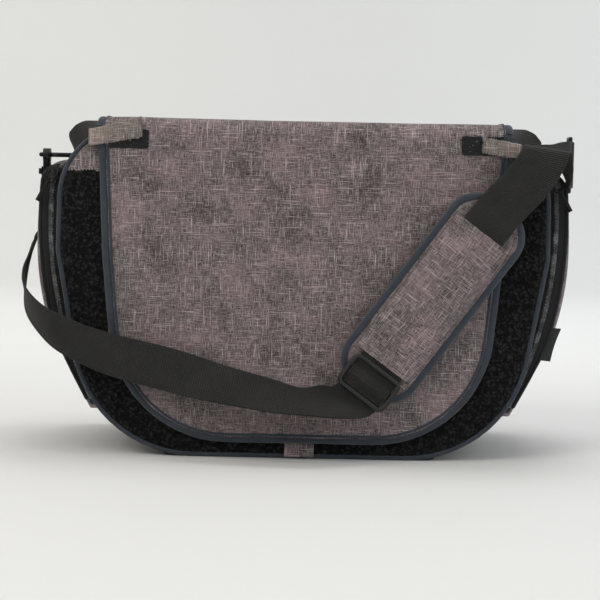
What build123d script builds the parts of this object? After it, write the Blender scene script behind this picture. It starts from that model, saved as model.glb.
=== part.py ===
"""Messenger-style soft pet carrier with an over-the-front flap, zipped end pockets and a padded shoulder strap.

Millimetres. +X is the bag's width, -Y its front and +Z up. The origin is the centre of the flat underside.
Each function makes one sub-part; the loop at the end writes one STEP file for each.
"""

import os
from math import asin, cos, degrees, hypot, radians, sin, sqrt

from build123d import *

# Body: seam outline in the front view, and its depth
BODY_WIDTH = 396.0
BODY_HEIGHT = 268.0
BODY_DEPTH = 166.0
BASE_TAPER = 28.0  # how far the base is drawn in on each side
BELLY_HEIGHT = 165.0
BASE_CORNER = 100.0
SHOULDER = 60.0
WALL = 5.0
BODY_PIPING = 3.8
PIPING_STEP = 1.0  # piping stands this far out of the front and back panels

# Gaps between layers of cloth, and between pieces that move
LAYER_GAP = 0.4
RUN_GAP = 0.5

# Front door: mesh panel in a window of the front panel
DOOR_WIDTH = 228.0
DOOR_HEIGHT = 138.0
DOOR_CORNER = 24.0
DOOR_BOTTOM = 60.0
DOOR_THICKNESS = 2.0
DOOR_BINDING = 9.0
DOOR_GAP = 2.0

# Flap
FLAP_WIDTH = BODY_WIDTH - 66
FLAP_BOTTOM = 13.0
FLAP_TAPER = 19.0
FLAP_WAIST = 160.0
FLAP_CORNER = 95.0
FLAP_SHELL = 2.5
FLAP_LINING = 1.2
FLAP_STANDOFF = 3.0  # lining in front of the front panel: the bottom tab lies between
FLAP_PIPING = 5.0
FLAP_FOLD_HEIGHT = BODY_HEIGHT - 25
FLAP_FOLD_GAP = 0.8
FLAP_TOP_GAP = 1.5
FLAP_TOP_ROUND = 8.0
FLAP_INNER_ROUND = 2.5
FLAP_BACK_DROP = 34.0

# Corner tabs and the patches under them
TAB_HEIGHT = 17.0
TAB_LENGTH = 32.0
TAB_THICKNESS = 1.4
TAB_HINGE_X = BODY_WIDTH / 2 - 36
TAB_BOTTOM = BODY_HEIGHT - 19
TAB_ROOT = 10.0
PATCH_LENGTH = 42.0
PATCH_THICKNESS = 1.0
BOTTOM_TAB_WIDTH = 24.0
BOTTOM_TAB_TOP = 32.0
BOTTOM_TAB_FOOT = 1.6

# Inside
BOARD_THICKNESS = 3.0
BED_THICKNESS = 14.0
BOARD_MARGIN = 2.0
BED_MARGIN = 1.5

# End pockets and their zips
POCKET_BULGE = 12.0
POCKET_DEPTH = 140.0
POCKET_BOTTOM = 36.0
POCKET_TOP = 238.0
POCKET_CORNER = 24.0
POCKET_PIPING = 3.0
ZIP_RADIUS = 330.0
ZIP_CENTRE_HEIGHT = 190.0
TAPE_THICKNESS = 1.2
CHAIN_WIDTH = 4.2
CHAIN_THICKNESS = 1.6
SLIDER_HEIGHT = POCKET_TOP - 10
SLIDER_LENGTH = 11.0
SLIDER_WIDTH = 8.0
SLIDER_THICKNESS = 3.0
PULL_LENGTH = 26.0
PULL_SLOPE = 62.0
PULL_RADIUS = 1.1
PULL_WIRE = 0.7
PULL_YOKE = 3.4
BRIDGE_LENGTH = 4.4
PULL_GRIP = 1.9
LABEL_LENGTH = 28.0
LABEL_WIDTH = 11.0

# Strap hardware: AXIS is the line that the strap swings about
AXIS_HEIGHT = BODY_HEIGHT - 26
RING_WIRE = 1.9
RING_LENGTH = 32.0
RING_WIDTH = 28.0
RING_START = BODY_WIDTH / 2 - 6
WEB_THICKNESS = 1.6
WEB_WIDTH = 38.0
HOOK_X = RING_START + 27
HOOK_THICKNESS = 6.0
HOOK_WALL = 3.0
HOOK_LENGTH = 26.0
HOOK_WIDTH = 9.0
EYE_LENGTH = 11.0
EYE_WIRE = 1.6
TRIGGER_TRAVEL = 4.0

# Shoulder pad, in its own axes: u along the strap, v across it
PAD_CENTRE = (BODY_WIDTH / 2 - 94.2, BODY_HEIGHT / 2 - 0.2)
PAD_ANGLE = 53.8
PAD_LENGTH = 186.0
PAD_WIDTH = WEB_WIDTH + 30
PAD_CORNER = 26.0
PAD_THICKNESS = 6.7
PAD_BINDING = 4.0
PAD_STANDOFF = 13.8  # back of the pad in front of the front panel
SLEEVE_LENGTH = PAD_LENGTH - 55
SLEEVE_WIDTH = WEB_WIDTH + 14
SLEEVE_THICKNESS = 1.2
ADJUSTER_PLACE = 9.4 - PAD_LENGTH / 2
ADJUSTER_LENGTH = 30.0
ADJUSTER_WIDTH = WEB_WIDTH + 8
ADJUSTER_BAR = 3.6
ADJUSTER_THICKNESS = 2.8
ADJUSTER_TRAVEL = 4.0

# Depths, from the front panel's face outwards
FRONT = -BODY_DEPTH / 2
LINING_Y = FRONT - FLAP_STANDOFF
SHELL_Y = LINING_Y - FLAP_LINING - LAYER_GAP
FLAP_FACE = SHELL_Y - FLAP_SHELL
PATCH_FACE = FLAP_FACE - PATCH_THICKNESS
TAB_BACK = PATCH_FACE - LAYER_GAP
TAB_FACE = TAB_BACK - TAB_THICKNESS
PAD_BACK = FRONT - PAD_STANDOFF
PAD_FACE = PAD_BACK - PAD_THICKNESS
BAR_THICKNESS = 1.8
WEB_BACK = PAD_FACE - BAR_THICKNESS - 2 * LAYER_GAP
WEB_Y = WEB_BACK - WEB_THICKNESS / 2
WEB_FACE = WEB_BACK - WEB_THICKNESS
SLEEVE_FACE = WEB_FACE - LAYER_GAP - SLEEVE_THICKNESS

POCKET_FRONT = -POCKET_DEPTH / 2
TAPE_FRONT = POCKET_FRONT - LAYER_GAP - TAPE_THICKNESS
CHAIN_FRONT = TAPE_FRONT - LAYER_GAP - CHAIN_THICKNESS
ZIP_CENTRE_X = BODY_WIDTH / 2 + POCKET_BULGE - ZIP_RADIUS
CHAIN_RADIUS = ZIP_RADIUS - POCKET_PIPING - CHAIN_WIDTH / 2 - LAYER_GAP


def slab(sketch, front, back):
    """A sketch drawn in (X, Z), as a solid from y = front to y = back."""
    plane = Plane(origin=(0, back, 0), x_dir=(1, 0, 0), z_dir=(0, -1, 0))
    return extrude(plane * sketch, amount=back - front)


def block(x0, x1, y0, y1, z0, z1):
    """A box between two corners."""
    return Pos((x0 + x1) / 2, (y0 + y1) / 2, (z0 + z1) / 2) * Box(x1 - x0, y1 - y0, z1 - z0)


def mirrored(shape):
    return mirror(shape, about=Plane.YZ)


def rounded(sketch, at, radius):
    """The sketch with the corners that lie at +-at rounded."""
    x, z = at
    corners = [v for v in sketch.vertices() if abs(abs(v.X) - x) < 0.01 and abs(v.Y - z) < 0.01]
    return fillet(corners, radius)


def outline(half_points, radii):
    """A closed outline, mirrored about X = 0, from its right-hand corners and their radii."""
    left = [(-x, z) for x, z in reversed(half_points)]
    sketch = make_face(Polyline(*half_points, *left, close=True))
    for corner, radius in zip(half_points, radii):
        if radius:
            sketch = rounded(sketch, corner, radius)
    return sketch


def body_outline(inset=0.0):
    """The body's front outline: drawn-in base, a belly and rounded shoulders."""
    half = BODY_WIDTH / 2
    points = [(half - BASE_TAPER, 0), (half + 1, BELLY_HEIGHT), (half - 1, BODY_HEIGHT)]
    sketch = outline(points, [BASE_CORNER, 0, SHOULDER])
    return offset(sketch, amount=-inset) if inset else sketch


def flap_outline(inset=0.0):
    """The flap's front outline, with wide round lower corners."""
    half = FLAP_WIDTH / 2
    top = BODY_HEIGHT + FLAP_TOP_GAP + FLAP_SHELL
    points = [(half - FLAP_TAPER, FLAP_BOTTOM), (half - FLAP_PIPING, FLAP_WAIST), (half, top)]
    sketch = outline(points, [FLAP_CORNER, 0, 0])
    return offset(sketch, amount=-inset, kind=Kind.INTERSECTION) if inset else sketch


def band(z0, z1, half_width=400.0):
    """A rectangle from z0 to z1, for cutting sketches."""
    return Pos(0, (z0 + z1) / 2) * Rectangle(2 * half_width, z1 - z0)


# Body


def door_window(gap):
    centre = DOOR_BOTTOM + DOOR_HEIGHT / 2
    return Pos(0, centre) * RectangleRounded(DOOR_WIDTH + 2 * gap, DOOR_HEIGHT + 2 * gap, DOOR_CORNER + gap)


def front_panel():
    """Fleece-covered front with the door's window."""
    return slab(body_outline(BODY_PIPING) - door_window(DOOR_GAP), FRONT, FRONT + WALL)


def back_panel():
    return slab(body_outline(BODY_PIPING), -FRONT - WALL, -FRONT)


def wall_ring():
    """The wall that joins the front and back panels, all the way round."""
    ring = body_outline(BODY_PIPING) - body_outline(BODY_PIPING + WALL)
    return slab(ring, FRONT + WALL, -FRONT - WALL)


BASE_SEAM = 14.0
TOP_SEAM = BODY_HEIGHT - 14.0


def bottom_panel():
    return wall_ring() & block(-400, 400, FRONT, -FRONT, -10, BASE_SEAM)


def top_panel():
    return wall_ring() & block(-400, 400, FRONT, -FRONT, TOP_SEAM, BODY_HEIGHT + 10)


def right_end_panel():
    return wall_ring() & block(0, 400, FRONT, -FRONT, BASE_SEAM, TOP_SEAM)


def base_cover():
    """Hard-wearing cloth panel under the bag, that it stands on."""
    edge = FRONT - PIPING_STEP + BODY_PIPING + LAYER_GAP
    return slab(body_outline() & band(0, BODY_PIPING - LAYER_GAP), edge, -edge)


def body_piping(front, back):
    return slab(body_outline() - body_outline(BODY_PIPING), front, back)


def front_piping():
    return body_piping(FRONT - PIPING_STEP, FRONT - PIPING_STEP + BODY_PIPING)


def back_piping():
    return body_piping(-FRONT + PIPING_STEP - BODY_PIPING, -FRONT + PIPING_STEP)


BOARD_BOTTOM = BODY_PIPING + WALL + LAYER_GAP
BED_BOTTOM = BOARD_BOTTOM + BOARD_THICKNESS + LAYER_GAP
INSIDE_DEPTH = BODY_DEPTH - 2 * WALL


def inside_outline(gap):
    return body_outline(BODY_PIPING + WALL + gap)


def base_board():
    """Stiffener board on the flat part of the cabin's floor."""
    low = (inside_outline(0.05) & band(0, BOARD_BOTTOM)).bounding_box()
    half = low.max.X - BOARD_MARGIN
    depth = INSIDE_DEPTH / 2 - BOARD_MARGIN
    return block(-half, half, -depth, depth, BOARD_BOTTOM, BOARD_BOTTOM + BOARD_THICKNESS)


def bed_pad():
    """Removable padded bed on the board, curved up to the end walls."""
    region = inside_outline(BED_MARGIN) & band(BED_BOTTOM, BED_BOTTOM + BED_THICKNESS)
    depth = INSIDE_DEPTH / 2 - BED_MARGIN
    return slab(region, -depth, depth)


# Door


DOOR_FRONT = FRONT + 1.0


def door_mesh():
    inner = offset(door_window(0), amount=-DOOR_BINDING)
    return slab(inner, DOOR_FRONT, DOOR_FRONT + DOOR_THICKNESS)


def door_binding():
    ring = door_window(0) - offset(door_window(0), amount=-DOOR_BINDING)
    return slab(ring, DOOR_FRONT, DOOR_FRONT + DOOR_THICKNESS)


# Flap


FLAP_EDGE = FLAP_FOLD_HEIGHT - FLAP_FOLD_GAP
LIP_EDGE = FLAP_FOLD_HEIGHT + FLAP_FOLD_GAP


def flap_shell():
    """Outer cloth of the moving part of the flap."""
    return slab(flap_outline(FLAP_PIPING) & band(0, FLAP_EDGE), FLAP_FACE, SHELL_Y)


def flap_lining():
    return slab(flap_outline(FLAP_PIPING) & band(0, FLAP_EDGE), LINING_Y - FLAP_LINING, LINING_Y)


def flap_piping():
    ring = (flap_outline() - flap_outline(FLAP_PIPING)) & band(0, FLAP_EDGE)
    return slab(ring, FLAP_FACE, LINING_Y)


def flap_profile():
    """The flap's side profile over the top of the bag, in (Y, Z): front lip, top and back drop."""
    low = BODY_HEIGHT + FLAP_TOP_GAP
    back = -FRONT + PIPING_STEP + 1.0
    top = low + FLAP_SHELL
    outer = make_face(
        Polyline((FLAP_FACE, LIP_EDGE), (FLAP_FACE, top), (back + FLAP_SHELL, top),
                 (back + FLAP_SHELL, BODY_HEIGHT - FLAP_BACK_DROP), (back, BODY_HEIGHT - FLAP_BACK_DROP),
                 (back, low), (SHELL_Y, low), (SHELL_Y, LIP_EDGE), close=True)
    )
    corners = [v for v in outer.vertices() if abs(v.Y - top) < 0.01]
    outer = fillet(corners, FLAP_TOP_ROUND)
    inner = [v for v in outer.vertices() if abs(v.Y - low) < 0.01 and (v.X < SHELL_Y + 0.1 or v.X > back - 0.1)]
    return fillet(inner, FLAP_INNER_ROUND)


def across(sketch, x0, x1):
    """A sketch drawn in (Y, Z), as a solid from x0 to x1."""
    plane = Plane(origin=(x0, 0, 0), x_dir=(0, 1, 0), z_dir=(1, 0, 0))
    return extrude(plane * sketch, amount=x1 - x0)


def flap_top():
    """Fixed part of the flap: front lip held by the corner tabs, top, and the drop sewn to the back."""
    half = FLAP_WIDTH / 2 - FLAP_PIPING
    return across(flap_profile(), -half, half)


def flap_top_piping():
    """Binding along both side edges of the fixed part."""
    half = FLAP_WIDTH / 2
    left = across(flap_profile(), -half, -half + FLAP_PIPING)
    return left + mirrored(left)


def right_patch():
    """Loop patch on the fixed lip, under the tab."""
    x = TAB_HINGE_X
    return block(x - PATCH_LENGTH + 6, x - 2, PATCH_FACE, FLAP_FACE, TAB_BOTTOM - 1, TAB_BOTTOM + TAB_HEIGHT - 3)


def right_corner_tab():
    """Corner tab: free end pressed on the patch, other end at its fold."""
    x = TAB_HINGE_X
    points = [(x, TAB_BOTTOM), (x - TAB_LENGTH, TAB_BOTTOM + 2), (x - TAB_LENGTH, TAB_BOTTOM + TAB_HEIGHT),
              (x, TAB_BOTTOM + TAB_HEIGHT - 1)]
    return slab(make_face(Polyline(*points, close=True)), TAB_FACE, TAB_BACK)


def right_tab_root():
    """The tab's sewn end, from the body's front corner out to its fold."""
    x = TAB_HINGE_X + RUN_GAP
    z0 = TAB_BOTTOM
    z1 = TAB_BOTTOM + TAB_HEIGHT - 4
    face = block(x, x + TAB_ROOT, TAB_FACE, TAB_BACK, z0, z1)
    back = block(x + TAB_ROOT - TAB_THICKNESS * 2, x + TAB_ROOT, TAB_BACK, FRONT - PIPING_STEP, z0, z1 - 2)
    return face + back


def bottom_tab():
    """Tab that comes up from the underside behind the flap's lower edge."""
    half = BOTTOM_TAB_WIDTH / 2
    y = FRONT - PIPING_STEP - LAYER_GAP
    return block(-half, half, y - 1.2, y, BOTTOM_TAB_FOOT, BOTTOM_TAB_TOP)


# End pockets


def pocket_region(inset=0.0):
    """Crescent between the body's side and the zip's arc, in the front view."""
    disc = Pos(ZIP_CENTRE_X, ZIP_CENTRE_HEIGHT) * Circle(ZIP_RADIUS - inset)
    x1 = BODY_WIDTH / 2 + POCKET_BULGE + 20
    width = x1 - 90
    height = POCKET_TOP - POCKET_BOTTOM
    middle = (POCKET_TOP + POCKET_BOTTOM) / 2
    frame = Pos(x1 - width / 2 - 20, middle) * RectangleRounded(width, height - 2 * inset, POCKET_CORNER)
    return (disc & frame) - body_outline(BODY_PIPING - RUN_GAP)


def right_end_pocket():
    """Padded outer panel of the end pocket, stored zipped and flat."""
    half = POCKET_DEPTH / 2
    return slab(pocket_region(), -half, half)


def right_pocket_tape():
    """Zip tape on the front and back edges of the pocket."""
    region = pocket_region(POCKET_PIPING + LAYER_GAP)
    front = slab(region, TAPE_FRONT, TAPE_FRONT + TAPE_THICKNESS)
    return front + mirror(front, about=Plane.XZ)


def sector(radius_in, radius_out, z0, z1):
    """Part of a ring about the zip's centre, on the right, between two heights."""
    ring = Circle(radius_out) - Circle(radius_in)
    return (Pos(ZIP_CENTRE_X, ZIP_CENTRE_HEIGHT) * ring) & Pos(250, (z0 + z1) / 2) * Rectangle(300, z1 - z0)


def right_zip_chain():
    half = CHAIN_WIDTH / 2
    ring = sector(CHAIN_RADIUS - half, CHAIN_RADIUS + half, POCKET_BOTTOM + 8, POCKET_TOP - 2)
    front = slab(ring, CHAIN_FRONT, CHAIN_FRONT + CHAIN_THICKNESS)
    return front + mirror(front, about=Plane.XZ)


def right_pocket_piping():
    ring = sector(ZIP_RADIUS - POCKET_PIPING, ZIP_RADIUS, POCKET_BOTTOM + 8, POCKET_TOP - 8)
    front = slab(ring, TAPE_FRONT - 1.2, POCKET_FRONT - 0.1)
    return front + mirror(front, about=Plane.XZ)


def arc_point(radius, height):
    """X of the zip's arc at a height."""
    return ZIP_CENTRE_X + sqrt(radius**2 - (height - ZIP_CENTRE_HEIGHT) ** 2)


def right_zip_slider():
    """Slider straddling the chain, with the bridge that holds the pull."""
    x = arc_point(CHAIN_RADIUS, SLIDER_HEIGHT)
    y = CHAIN_FRONT - RUN_GAP
    body = Box(SLIDER_WIDTH, SLIDER_THICKNESS, SLIDER_LENGTH)
    body = fillet(body.edges().filter_by(Axis.Y), 2.0)
    bridge = Pos(0, -SLIDER_THICKNESS / 2 - 1.4, 0) * Box(2.2, 2.8, BRIDGE_LENGTH)
    hole = Pos(0, -SLIDER_THICKNESS / 2 - 1.0, 0) * Cylinder(1.25, 4, rotation=(0, 90, 0))
    turn = degrees(asin((SLIDER_HEIGHT - ZIP_CENTRE_HEIGHT) / CHAIN_RADIUS))
    return Pos(x, y - SLIDER_THICKNESS / 2, SLIDER_HEIGHT) * Rot(0, -turn, 0) * (body + bridge - hole)


def pull_place():
    """Where the pull hangs on the slider's bridge."""
    x = arc_point(CHAIN_RADIUS, SLIDER_HEIGHT)
    return (x, CHAIN_FRONT - RUN_GAP - SLIDER_THICKNESS - 1.0, SLIDER_HEIGHT)


def right_zip_pull():
    """Cord pull: a wire through the bridge, two legs and a thicker grip."""
    x, y, z = pull_place()
    wire = Cylinder(PULL_WIRE, 2 * PULL_YOKE, rotation=(0, 90, 0))
    legs = [Pos(side * PULL_YOKE, 0, -4.0) * Cylinder(PULL_WIRE, 8.0) for side in (-1, 1)]
    joints = [Pos(side * PULL_YOKE, 0, 0) * Sphere(PULL_WIRE) for side in (-1, 1)]
    yoke = Pos(0, 0, -8.0) * Cylinder(PULL_WIRE, 2 * PULL_YOKE + 2 * PULL_WIRE, rotation=(0, 90, 0))
    cord = Pos(0, 0, -8.0 - PULL_LENGTH / 2 + 4) * Cylinder(PULL_RADIUS, PULL_LENGTH - 8)
    grip = Pos(0, 0, -PULL_LENGTH + 4) * Cylinder(PULL_GRIP, 9.0)
    pull = wire + legs + joints + yoke + cord + grip
    return Pos(x, y, z) * Rot(0, PULL_SLOPE - 90, 0) * pull


def side_label():
    """Blank woven label caught in the right pocket's piping."""
    z = POCKET_BOTTOM + 60
    x = arc_point(ZIP_RADIUS, z) + RUN_GAP
    points = [(x - 7, z - LABEL_LENGTH / 2), (x + 4, z + LABEL_LENGTH / 2), (x + 4 + LABEL_WIDTH, z + LABEL_LENGTH / 2 - 1),
              (x + LABEL_WIDTH - 7, z - LABEL_LENGTH / 2 + 1)]
    front = POCKET_FRONT - 0.9
    shape = slab(make_face(Polyline(*points, close=True)), front, front + 0.8)
    keep = Pos(ZIP_CENTRE_X, 0, ZIP_CENTRE_HEIGHT) * Cylinder(ZIP_RADIUS + 0.3, 400, rotation=(90, 0, 0))
    return shape - keep


# Strap hardware


def rod(start, end, radius):
    """A round rod with domed ends between two points."""
    a, b = Vector(*start), Vector(*end)
    middle = Plane(origin=(a + b) / 2, z_dir=b - a)
    return middle * Cylinder(radius, (b - a).length) + Pos(*start) * Sphere(radius) + Pos(*end) * Sphere(radius)


def right_ring():
    """Rectangular wire ring: one long side is the strap's swing axis."""
    x0, x1 = RING_START, RING_START + RING_LENGTH
    corners = [(x0, 0), (x1, 0), (x1, RING_WIDTH), (x0, RING_WIDTH)]
    places = [(x, y, AXIS_HEIGHT) for x, y in corners]
    ring = rod(places[0], places[1], RING_WIRE)
    for a, b in zip(places[1:], places[2:] + places[:1]):
        ring = ring + rod(a, b, RING_WIRE)
    return ring


def right_chape():
    """Webbing loop round the ring's inner side, sewn along the shoulder."""
    cx = BODY_WIDTH / 2 - 1 - SHOULDER
    cz = BODY_HEIGHT - SHOULDER
    reach = hypot(RING_START - cx, AXIS_HEIGHT - cz)
    inner = RING_WIRE + RUN_GAP
    outer = inner + WEB_THICKNESS
    low = reach - outer
    loop = Pos(RING_START, AXIS_HEIGHT) * (Circle(outer) - Circle(inner))
    strip = Pos(cx, cz) * (Circle(low + WEB_THICKNESS) - Circle(low))
    start = Pos(cx, cz) * make_face(Polyline((0, 0), (200 * sin(radians(57)), 200 * cos(radians(57))),
                                             (200 * sin(radians(14)), 200 * cos(radians(14))), close=True))
    tail = strip & start
    side = RING_WIRE + RUN_GAP
    return slab(loop + tail, side, RING_WIDTH - side)


def hook_body():
    """Snap hook drawn along -Z from the axis at the origin, in its own axes."""
    inner = RING_WIRE + RUN_GAP
    ring = Cylinder(inner + HOOK_WALL, HOOK_THICKNESS, rotation=(0, 90, 0))
    stem = Pos(0, 0, -HOOK_LENGTH / 2 - 2) * Box(HOOK_THICKNESS, HOOK_WIDTH, HOOK_LENGTH - 4)
    stem = fillet(stem.edges().filter_by(Axis.Z), 1.5)
    slot = Pos(HOOK_THICKNESS / 2, 0, -HOOK_LENGTH / 2 - 3) * Box(4.0, 4.0, 8 + TRIGGER_TRAVEL + 1)
    bore = Cylinder(inner, 3 * HOOK_THICKNESS, rotation=(0, 90, 0))
    return ring + stem - slot - bore


def trigger_body():
    """Sliding thumb knob in the hook's slot."""
    z = -HOOK_LENGTH / 2 - 3 + TRIGGER_TRAVEL / 2
    tongue = Pos(HOOK_THICKNESS / 2, 0, z) * Box(3.2, 3.2, 8)
    knob = Pos(HOOK_THICKNESS / 2 + 2.4, 0, z) * Box(2.4, 6.0, 5.0)
    return tongue + fillet(knob.edges().filter_by(Axis.X), 1.2)


EYE_BAR = HOOK_LENGTH + 3.0 + EYE_LENGTH
EYE_HALF = WEB_WIDTH / 2 + EYE_WIRE + 1.2
EYE_LOOP = EYE_WIRE + RUN_GAP + WEB_THICKNESS * 0.7


def eye_body():
    """Swivel post and the wide eye that holds the webbing; the eye is wide along X."""
    post = Pos(0, 0, -HOOK_LENGTH - 1.6) * Cylinder(2.4, 2.8)
    low = -EYE_BAR
    high = low + EYE_LENGTH
    corners = [(-EYE_HALF, 0, low), (EYE_HALF, 0, low), (EYE_HALF, 0, high), (-EYE_HALF, 0, high)]
    eye = post
    for a, b in zip(corners, corners[1:] + corners[:1]):
        eye = eye + rod(a, b, EYE_WIRE)
    return eye


RIGHT_POSE = Pos(HOOK_X, 0, AXIS_HEIGHT) * Rot(-90, 0, 0)
LEFT_POSE = Pos(-HOOK_X, 0, AXIS_HEIGHT)
EYE_TURN = Rot(0, 0, 90)


def along_pad(u, v=0.0):
    """(X, Z) of a place u along the strap from the pad's centre, up to the right, and v across it."""
    c, s = cos(radians(PAD_ANGLE)), sin(radians(PAD_ANGLE))
    return (PAD_CENTRE[0] + u * c + v * s, PAD_CENTRE[1] + u * s - v * c)


def pad_slab(sketch, front, back):
    """A sketch drawn in (u, v), as a solid from y = front to y = back."""
    x, z = PAD_CENTRE
    return slab(Pos(x, z) * Rot(0, 0, PAD_ANGLE) * sketch, front, back)


def pad_shape(inset=0.0):
    return RectangleRounded(PAD_LENGTH - 2 * inset, PAD_WIDTH - 2 * inset, PAD_CORNER - inset)


def shoulder_pad():
    return pad_slab(pad_shape(PAD_BINDING), PAD_FACE, PAD_BACK)


def pad_binding():
    return pad_slab(pad_shape() - pad_shape(PAD_BINDING), PAD_FACE + 0.4, PAD_BACK)


def pad_sleeve():
    """Cloth tunnel on the pad that the webbing runs through."""
    outer = pad_slab(Rectangle(SLEEVE_LENGTH, SLEEVE_WIDTH), SLEEVE_FACE, PAD_FACE)
    tunnel = pad_slab(Rectangle(SLEEVE_LENGTH + 2, WEB_WIDTH + 2), SLEEVE_FACE + SLEEVE_THICKNESS, PAD_FACE + 1)
    return outer - tunnel


def strap_adjuster():
    """Tri-glide: side bars over the webbing and a centre bar behind it."""
    bar = ADJUSTER_BAR
    front = WEB_FACE - LAYER_GAP
    place = Pos(ADJUSTER_PLACE, 0)
    frame = RectangleRounded(ADJUSTER_LENGTH, ADJUSTER_WIDTH, 4) - Rectangle(ADJUSTER_LENGTH - 2 * bar, WEB_WIDTH + 1)
    ring = pad_slab(place * frame, front - ADJUSTER_THICKNESS, front)
    half = ADJUSTER_WIDTH / 2
    post_width = half - WEB_WIDTH / 2 - RUN_GAP
    posts = [
        pad_slab(place * Pos(0, side * (half - post_width / 2)) * Rectangle(8, post_width), front, PAD_FACE - LAYER_GAP)
        for side in (-1, 1)
    ]
    centre = pad_slab(place * Rectangle(8, ADJUSTER_WIDTH), PAD_FACE - LAYER_GAP - BAR_THICKNESS, PAD_FACE - LAYER_GAP)
    return ring + posts + centre


def strap_sections():
    """The strap's centre points and half-width vectors, from the left eye to the right eye."""
    out = BODY_WIDTH / 2
    y = WEB_Y
    half = WEB_WIDTH / 2
    eye_left = (-HOOK_X, 0, AXIS_HEIGHT - EYE_BAR)
    low_x, low_z = along_pad(ADJUSTER_PLACE - ADJUSTER_LENGTH / 2 - 16.5, -10.3)
    route = [
        ((eye_left[0], eye_left[1], eye_left[2] - EYE_LOOP), (0, 1, 0)),
        ((eye_left[0], eye_left[1], eye_left[2] - 12), (0, 1, 0)),
        ((-out - 25, -6, eye_left[2] - 24), (0, 1, 0.2)),
        ((-out - 28, -24, AXIS_HEIGHT - 76), (0, 0.85, 0.5)),
        ((-out - 29, -50, AXIS_HEIGHT - 96), (0, 0.6, 0.8)),
        ((-out - 27, -74, AXIS_HEIGHT - 111), (-0.15, 0.4, 0.9)),
        ((-out - 19, -93, AXIS_HEIGHT - 123), (-0.3, 0.15, 0.95)),
        ((-out - 4, y + 2, AXIS_HEIGHT - 136), (-0.3, 0, 0.95)),
        ((-out + 22, y, AXIS_HEIGHT - 149), (-0.27, 0, 0.96)),
        ((low_x - 124, y, low_z + 23.5), (-0.2, 0, 0.98)),
        ((low_x - 84, y, low_z + 12.5), (-0.2, 0, 0.97)),
        ((low_x - 48, y - 1, low_z + 4.5), (-0.1, 0.25, 0.95)),
        ((low_x - 19, y - 2, low_z - 0.5), (-0.1, 0.4, 0.9)),
        ((low_x, y, low_z), (-0.6, 0.15, 0.75)),
    ]
    c, s = cos(radians(PAD_ANGLE)), sin(radians(PAD_ANGLE))
    across_pad = (-s, 0, c)
    for u in (ADJUSTER_PLACE - ADJUSTER_LENGTH / 2 - ADJUSTER_TRAVEL - 1, 0.0, SLEEVE_LENGTH / 2 + 32):
        x, z = along_pad(u)
        route.append(((x, y, z), across_pad))
    fold_x, fold_z = along_pad(150.0)
    route += [
        ((fold_x - 16, y, fold_z - 26), (-0.88, 0, 0.47)),
        ((fold_x - 2, y, fold_z - 5), (-0.96, 0, 0.25)),
        ((fold_x + 2, y + 3, fold_z + 1), (-0.99, 0, 0.12)),
        ((fold_x + 8, y + 13, fold_z + 1), (-0.94, -0.1, 0.3)),
        ((fold_x + 17, y + 27, AXIS_HEIGHT + 9), (-0.75, 0, 0.65)),
        ((HOOK_X - 3, -EYE_BAR - 22, AXIS_HEIGHT + 4), (-0.4, 0, 0.9)),
        ((HOOK_X, -EYE_BAR - 12, AXIS_HEIGHT), (-0.1, 0, 1)),
        ((HOOK_X, -EYE_BAR - EYE_LOOP, AXIS_HEIGHT), (0, 0, 1)),
    ]
    return [(Vector(*p), Vector(*w).normalized() * half) for p, w in route]


def section_face(place, wide, tangent):
    """One cross-section of the webbing."""
    thick = tangent.cross(wide).normalized() * (WEB_THICKNESS / 2)
    corners = [place + wide + thick, place - wide + thick, place - wide - thick, place + wide - thick]
    return make_face(Polyline(*corners, close=True))


def strap_webbing():
    """The whole webbing: a ribbon with straight-sided spans between its sections."""
    sections = strap_sections()
    faces = []
    for i, (place, wide) in enumerate(sections):
        before = sections[max(i - 1, 0)][0]
        after = sections[min(i + 1, len(sections) - 1)][0]
        tangent = (after - before).normalized()
        if 0 < i < len(sections) - 1:
            wide = (wide - tangent * wide.dot(tangent)).normalized() * (WEB_WIDTH / 2)
        faces.append(section_face(place, wide, tangent))
    return loft(faces, ruled=True)


def end_loop():
    """Sewn loop of webbing round an eye's bar, in the hook's own axes."""
    inner = EYE_WIRE + RUN_GAP
    ring = Cylinder(EYE_LOOP, WEB_WIDTH, rotation=(0, 90, 0))
    bore = Cylinder(inner, WEB_WIDTH + 2, rotation=(0, 90, 0))
    return Pos(0, 0, -EYE_BAR) * (ring - bore)


RIGHT_ONLY = {
    "side_label": side_label,
    "right_snap_hook": lambda: RIGHT_POSE * hook_body(),
    "right_hook_trigger": lambda: RIGHT_POSE * trigger_body(),
    "right_swivel_eye": lambda: RIGHT_POSE * EYE_TURN * eye_body(),
    "left_snap_hook": lambda: LEFT_POSE * mirrored(hook_body()),
    "left_hook_trigger": lambda: LEFT_POSE * mirrored(trigger_body()),
    "left_swivel_eye": lambda: LEFT_POSE * EYE_TURN * eye_body(),
    "right_strap_loop": lambda: RIGHT_POSE * EYE_TURN * end_loop(),
    "left_strap_loop": lambda: LEFT_POSE * EYE_TURN * end_loop(),
}

SINGLE = {
    "front_panel": front_panel,
    "back_panel": back_panel,
    "bottom_panel": bottom_panel,
    "base_cover": base_cover,
    "top_panel": top_panel,
    "front_piping": front_piping,
    "back_piping": back_piping,
    "base_board": base_board,
    "bed_pad": bed_pad,
    "door_mesh": door_mesh,
    "door_binding": door_binding,
    "flap_shell": flap_shell,
    "flap_lining": flap_lining,
    "flap_piping": flap_piping,
    "flap_top": flap_top,
    "flap_top_piping": flap_top_piping,
    "bottom_tab": bottom_tab,
    "shoulder_pad": shoulder_pad,
    "pad_binding": pad_binding,
    "pad_sleeve": pad_sleeve,
    "strap_adjuster": strap_adjuster,
    "strap_webbing": strap_webbing,
}

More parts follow.
